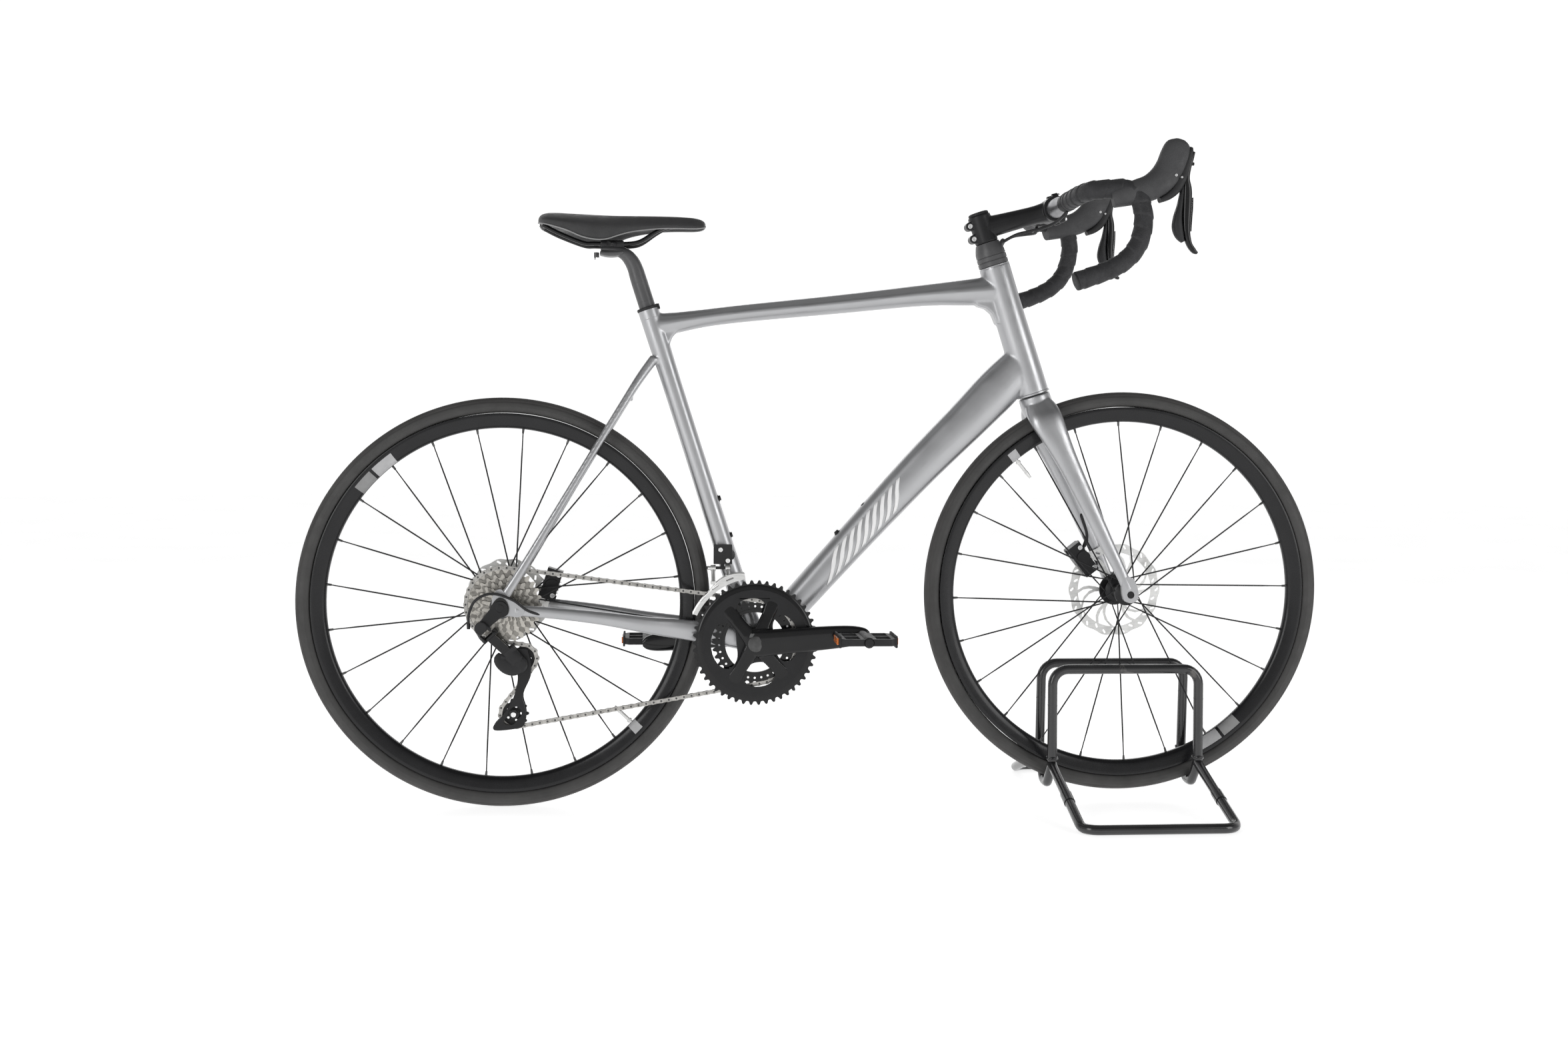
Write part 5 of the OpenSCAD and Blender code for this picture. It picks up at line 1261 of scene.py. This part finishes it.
def rear_derailleur():
    """Hanger, linkage, body, cage and both pulleys."""
    refine("derailleur_hanger", [SATIN], 1.2)
    refine("rd_knuckle", [PLASTIC], 1.0)
    s = Shape(axle(B_BOLT))
    s.bolt(move(0, 0, 84.6), 7.6, 3.4, 0.42, 36)
    s.mat = 1
    s.at = axle(REAR)
    s.bolt(move(0, 0, 82), 7.4, 2.6, 0.6, 36)
    s.mat = 2
    cap = [(-16, 1), (-12, -11), (0, -15), (11, -11), (14, 0), (9, 12), (0, 17), (-8, 13)]
    s.plate([[q[:2] for q in smooth(cap + cap[:1], 4)][:-1]], 78.6, 82.2)
    make("axle_bolts", s, "frame", [BRIGHT, SATIN, GLOSS], (), bevel=0.5)
    for name in ("rd_outer_link", "rd_inner_link"):
        refine(name, [GLOSS], 1.0)

    s = Shape(ON_LINKS @ move(LINK_END))
    s.rows([(-6, 0, 2, 12.4, 5), (2, 0, 3, 13.2, 8), (10, 0, 4, 13.4, 10), (20, 0, 4.5, 13, 11)],
           5, 24, 3.4)
    for z in (0, LINK_GAP):
        s.rod((0, -13.2, z), (0, -8.4, z), 5.4, n=20)
        s.rod((0, 8.4, z), (0, 13.2, z), 5.4, n=20)
    s.at = axle(CAGE_PIVOT)
    s.lathe([(4, 35.6), (13.4, 35.6), (14.6, 37), (15.4, 42), (15, 47), (12.6, 50.6),
             (8, 52), (0.5, 52.2)], 40)
    s.at = Matrix()
    s.rows([(-518, -46, 258, 5, 7), (-522, -47, 250, 7, 10), (-512, -47, 240, 8, 12),
            (-500, -46, 236, 8, 12), (-490, -45, 238, 6, 9)], 5, 20, 3)
    skin = melt(s, 0.9, 4)
    dress("rd_body_skin", skin, "rd_body", [PLASTIC], "rd_body", angle=50)

    outer = [(-479, 266), (-473, 244), (-474.5, 219), (-486, 191), (-482, 170), (-481, 157),
             (-485, 140), (-500, 135), (-527, 132.6), (-534, 136), (-531, 144), (-516, 160),
             (-504, 180), (-497, 201), (-494, 222), (-500, 240), (-502, 254), (-492, 266)]
    s = Shape(axle((0, 0, 0), -36.2))
    pts = [q[:2] for q in smooth([(x, z) for x, z in outer + outer[:1]], 4)][:-1]
    hole = [(-494, 151), (-488, 158), (-489, 166), (-496, 172), (-506, 168), (-511, 157),
            (-517, 147), (-512, 142), (-501, 143)]
    tri = [q[:2] for q in smooth(hole + hole[:1], 3)][:-1]
    s.plate([pts, tri], -1.3, 1.3)
    s.at = axle((0, 0, 0), -18.8)
    s.plate([pts, tri], -0.8, 0.8)
    s.at = Matrix()
    for c in (GUIDE, TENSION):
        s.mat = 0
        s.rod((c[0], -38.2, c[2]), (c[0], -35, c[2]), 7.6, 7.6, 28)
        s.mat = 1
        s.rod((c[0], -39.4, c[2]), (c[0], -18, c[2]), 3.0, 3.0, 20)
        s.bolt(move(c[0], -38.1, c[2]) @ turn(pi / 2, "X"), 4.4, 2.0)
    s.mat = 0
    s.box((-527, -36, 133.5), (9, 17, 4))
    make("rd_cage_skin", s, "rd_cage", [SATIN, BRIGHT], "rd_cage", bevel=0.5,
         angle=35)
    for name, c in (("guide", GUIDE), ("tension", TENSION)):
        s = Shape(axle(c, BIG_COG_Y))
        s.plate([teeth_loop(11, 2.0, -3.6)] + [circle(3.06, 20)]
                + [circle(2.0, 10, (11.5 * cos(tau * k / 5), 11.5 * sin(tau * k / 5)))
                   for k in range(5)], -1.1, 1.1)
        s.mat = 1
        s.ring(8.6, 3.06, -3.6, 3.6, 32, 0.5)
        make(name + "_pulley_skin", s, name + "_pulley", [PLASTIC, DARK], name + "_pulley",
             bevel=0.25)


# ---------- seat ----------
def seat():
    """Seatpost, rails and the padded saddle."""
    s = Shape()
    low = V(SEAT_TOP) - 110 * SEAT_UP
    tip = V(SEAT_TOP) + 52 * SEAT_UP
    s.rows([(low.x, 0, low.z, 13.5, 13.5), (SEAT_TOP.x, 0, SEAT_TOP.z, 13.5, 13.5),
            (tip.x, 0, tip.z, 13.5, 13.4), (-304.6, 0, 888, 13.2, 12.8),
            (-311, 0, 901, 12.8, 12.2), (-321, 0, 911.5, 12.2, 10.6),
            (-335, 0, 917.6, 12, 8.6), (-350, 0, 919, 12, 7.6), (-361, 0, 919, 11, 6)],
           6, 36)
    for d in (14, 46):
        p = V(SEAT_TOP) + d * SEAT_UP
        s.at = move(p) @ turn(SEAT_TILT, "Y")
        s.ring(13.65, 12, -0.5, 0.5, 40)
    s.at = Matrix()
    s.rows([(-362, 0, 912.5, 15, 3), (-350, 0, 911.5, 16, 4.5), (-336, 0, 912, 16, 4.5),
            (-324, 0, 914, 14, 3)], 4, 20, 4)
    for x in (-368, -322):
        s.rod((x, 0, 905), (x, 0, 914), 4.2, 4.2, 16)
        s.mat = 1
        s.rod((x, 0, 902), (x, 0, 906), 4.6, 4.6, 6)
        s.mat = 0
    make("seatpost_skin", s, "seat", [POST, BRIGHT], "seatpost", bevel=0.3,
         angle=50)

    c = V(SEAT_TOP) + V((-62, 0, 98))
    s = Shape()
    rail = [(-108, 30, 34), (-84, 27, 22), (-44, 22, 7), (-26, 22, 6), (0, 22, 6),
            (30, 22, 6.5), (50, 21, 11), (74, 15, 27), (92, 9, 36), (116, 7, 40)]
    for side in (-1, 1):
        s.mat = 0
        s.tube(evenly([c + V((x, side * y, z)) for x, y, z in smooth(rail, 6)], 4), 3.5, 16)
    s.mat = 1
    for side in (-1, 1):
        s.tube([c + V((x, side * 22, 6.4)) for x in (-15, -13, 20, 22)],
               [(5.4, 4.6), (6.2, 5.4), (6.2, 5.4), (5.4, 4.6)], 20, power=3)
    s.rows([(c.x - 6, -27, c.z + 6, 12, 4), (c.x, -20, c.z + 7, 14, 4.6),
            (c.x + 2, 0, c.z + 8, 15, 4.6), (c.x, 20, c.z + 7, 14, 4.6),
            (c.x - 6, 27, c.z + 6, 12, 4)], 5, 20, 3, (1, 0, 0))
    s.mat = 2
    s.bolt(move(c.x + 2, 0, c.z + 12), 5, 2)
    make("saddle_rails_skin", s, "seat", [GLOSS, SATIN, BRIGHT], "saddle_rails",
         bevel=0.2, angle=50)

    # saddle shell: stations of x, half width, top, edge and lowest skirt height
    stations = [(-461, 20, 963.5, 961, 957), (-459.5, 40, 967, 962, 955),
                (-455, 55, 971.5, 962, 953.5), (-446, 65, 974, 961, 951),
                (-432, 70.5, 974.6, 959, 947), (-412, 71.5, 974, 957, 941),
                (-390, 69, 973.4, 955, 932), (-368, 62, 973, 953.5, 928.5),
                (-350, 53.5, 973, 953, 930.5), (-332, 44.5, 973.2, 953.5, 937.5),
                (-312, 36, 973.6, 955, 944), (-288, 29, 974, 957, 948.5),
                (-262, 24.5, 974.2, 958.5, 951.5), (-235, 22, 973.8, 959, 952.5),
                (-212, 20.4, 972.6, 958.5, 952.5), (-199, 18, 970, 958, 953.5),
                (-192.5, 13, 966.6, 958.4, 955.5), (-190, 5, 963, 960, 958.5)]
    dense = smooth(stations, 3)
    rings, edge = [], []
    for x, w, top, rim, low in dense:
        ring = []
        dip = 2.6 * max(0.0, min(1.0, (-200 - x) / 60)) * max(0.0, min(1.0, (x + 455) / 40))
        for k in range(-8, 9):
            u = k / 8
            z = top - (top - rim) * abs(u) ** 3.2 - dip * max(0.0, 1 - (abs(u) / 0.3) ** 2)
            ring.append((x, u * w * 0.985, z))
        ring.append((x, w, (rim * 2 + low) / 3))
        ring.append((x, w * 0.985, (rim + low * 3) / 4))
        ring.append((x, w * 0.95, low))
        base = max(low + 4, top - 22)
        for u in (0.86, 0.7, 0.35, 0, -0.35, -0.7, -0.86):
            ring.append((x, u * w, low + 1.5 if abs(u) > 0.8 else max(base, low + 3)))
        ring += [(x, -w * 0.95, low), (x, -w * 0.985, (rim + low * 3) / 4),
                 (x, -w, (rim * 2 + low) / 3)]
        rings.append(ring)
        edge.append((x, w * 0.96, low + 0.4))
    s = Shape()
    s.loft(rings)
    saddle = make("saddle_skin", s, "seat", [COVER], "saddle", angle=75,
                  subdivide=1)
    s = Shape()
    line = edge + [(x, -y, z) for x, y, z in edge[::-1]]
    s.tube(evenly(line, 3), 1.1, 8, (0, 0, 1))
    make("saddle_edge", s, "seat", [EDGE], (), angle=60)


studio()
wheel("front", FRONT, 33, 24, 17, 50, 9.5, 2, 129.5, ((-62, -54.5, 3), (-53.5, -47, 4)))
wheel("rear", REAR, 17, 34, 19, 71, 10, -6.2, -43.7, ((126.5, 134, 3), (135, 141.5, 4)))
rotor("front", FRONT, 80, FRONT_ROTOR_Y, 6)
rotor("rear", REAR, 70, REAR_ROTOR_Y, 6)
frame_skin()
frame_details()
fork_skin()
stand()
cockpit()
levers()
cables()
brakes()
crank_set()
pedal("right", BB + CRANK_LEN * ARM, -1)
pedal("left", BB - CRANK_LEN * ARM, 1)
cassette()
chain()
front_derailleur()
rear_derailleur()
seat()
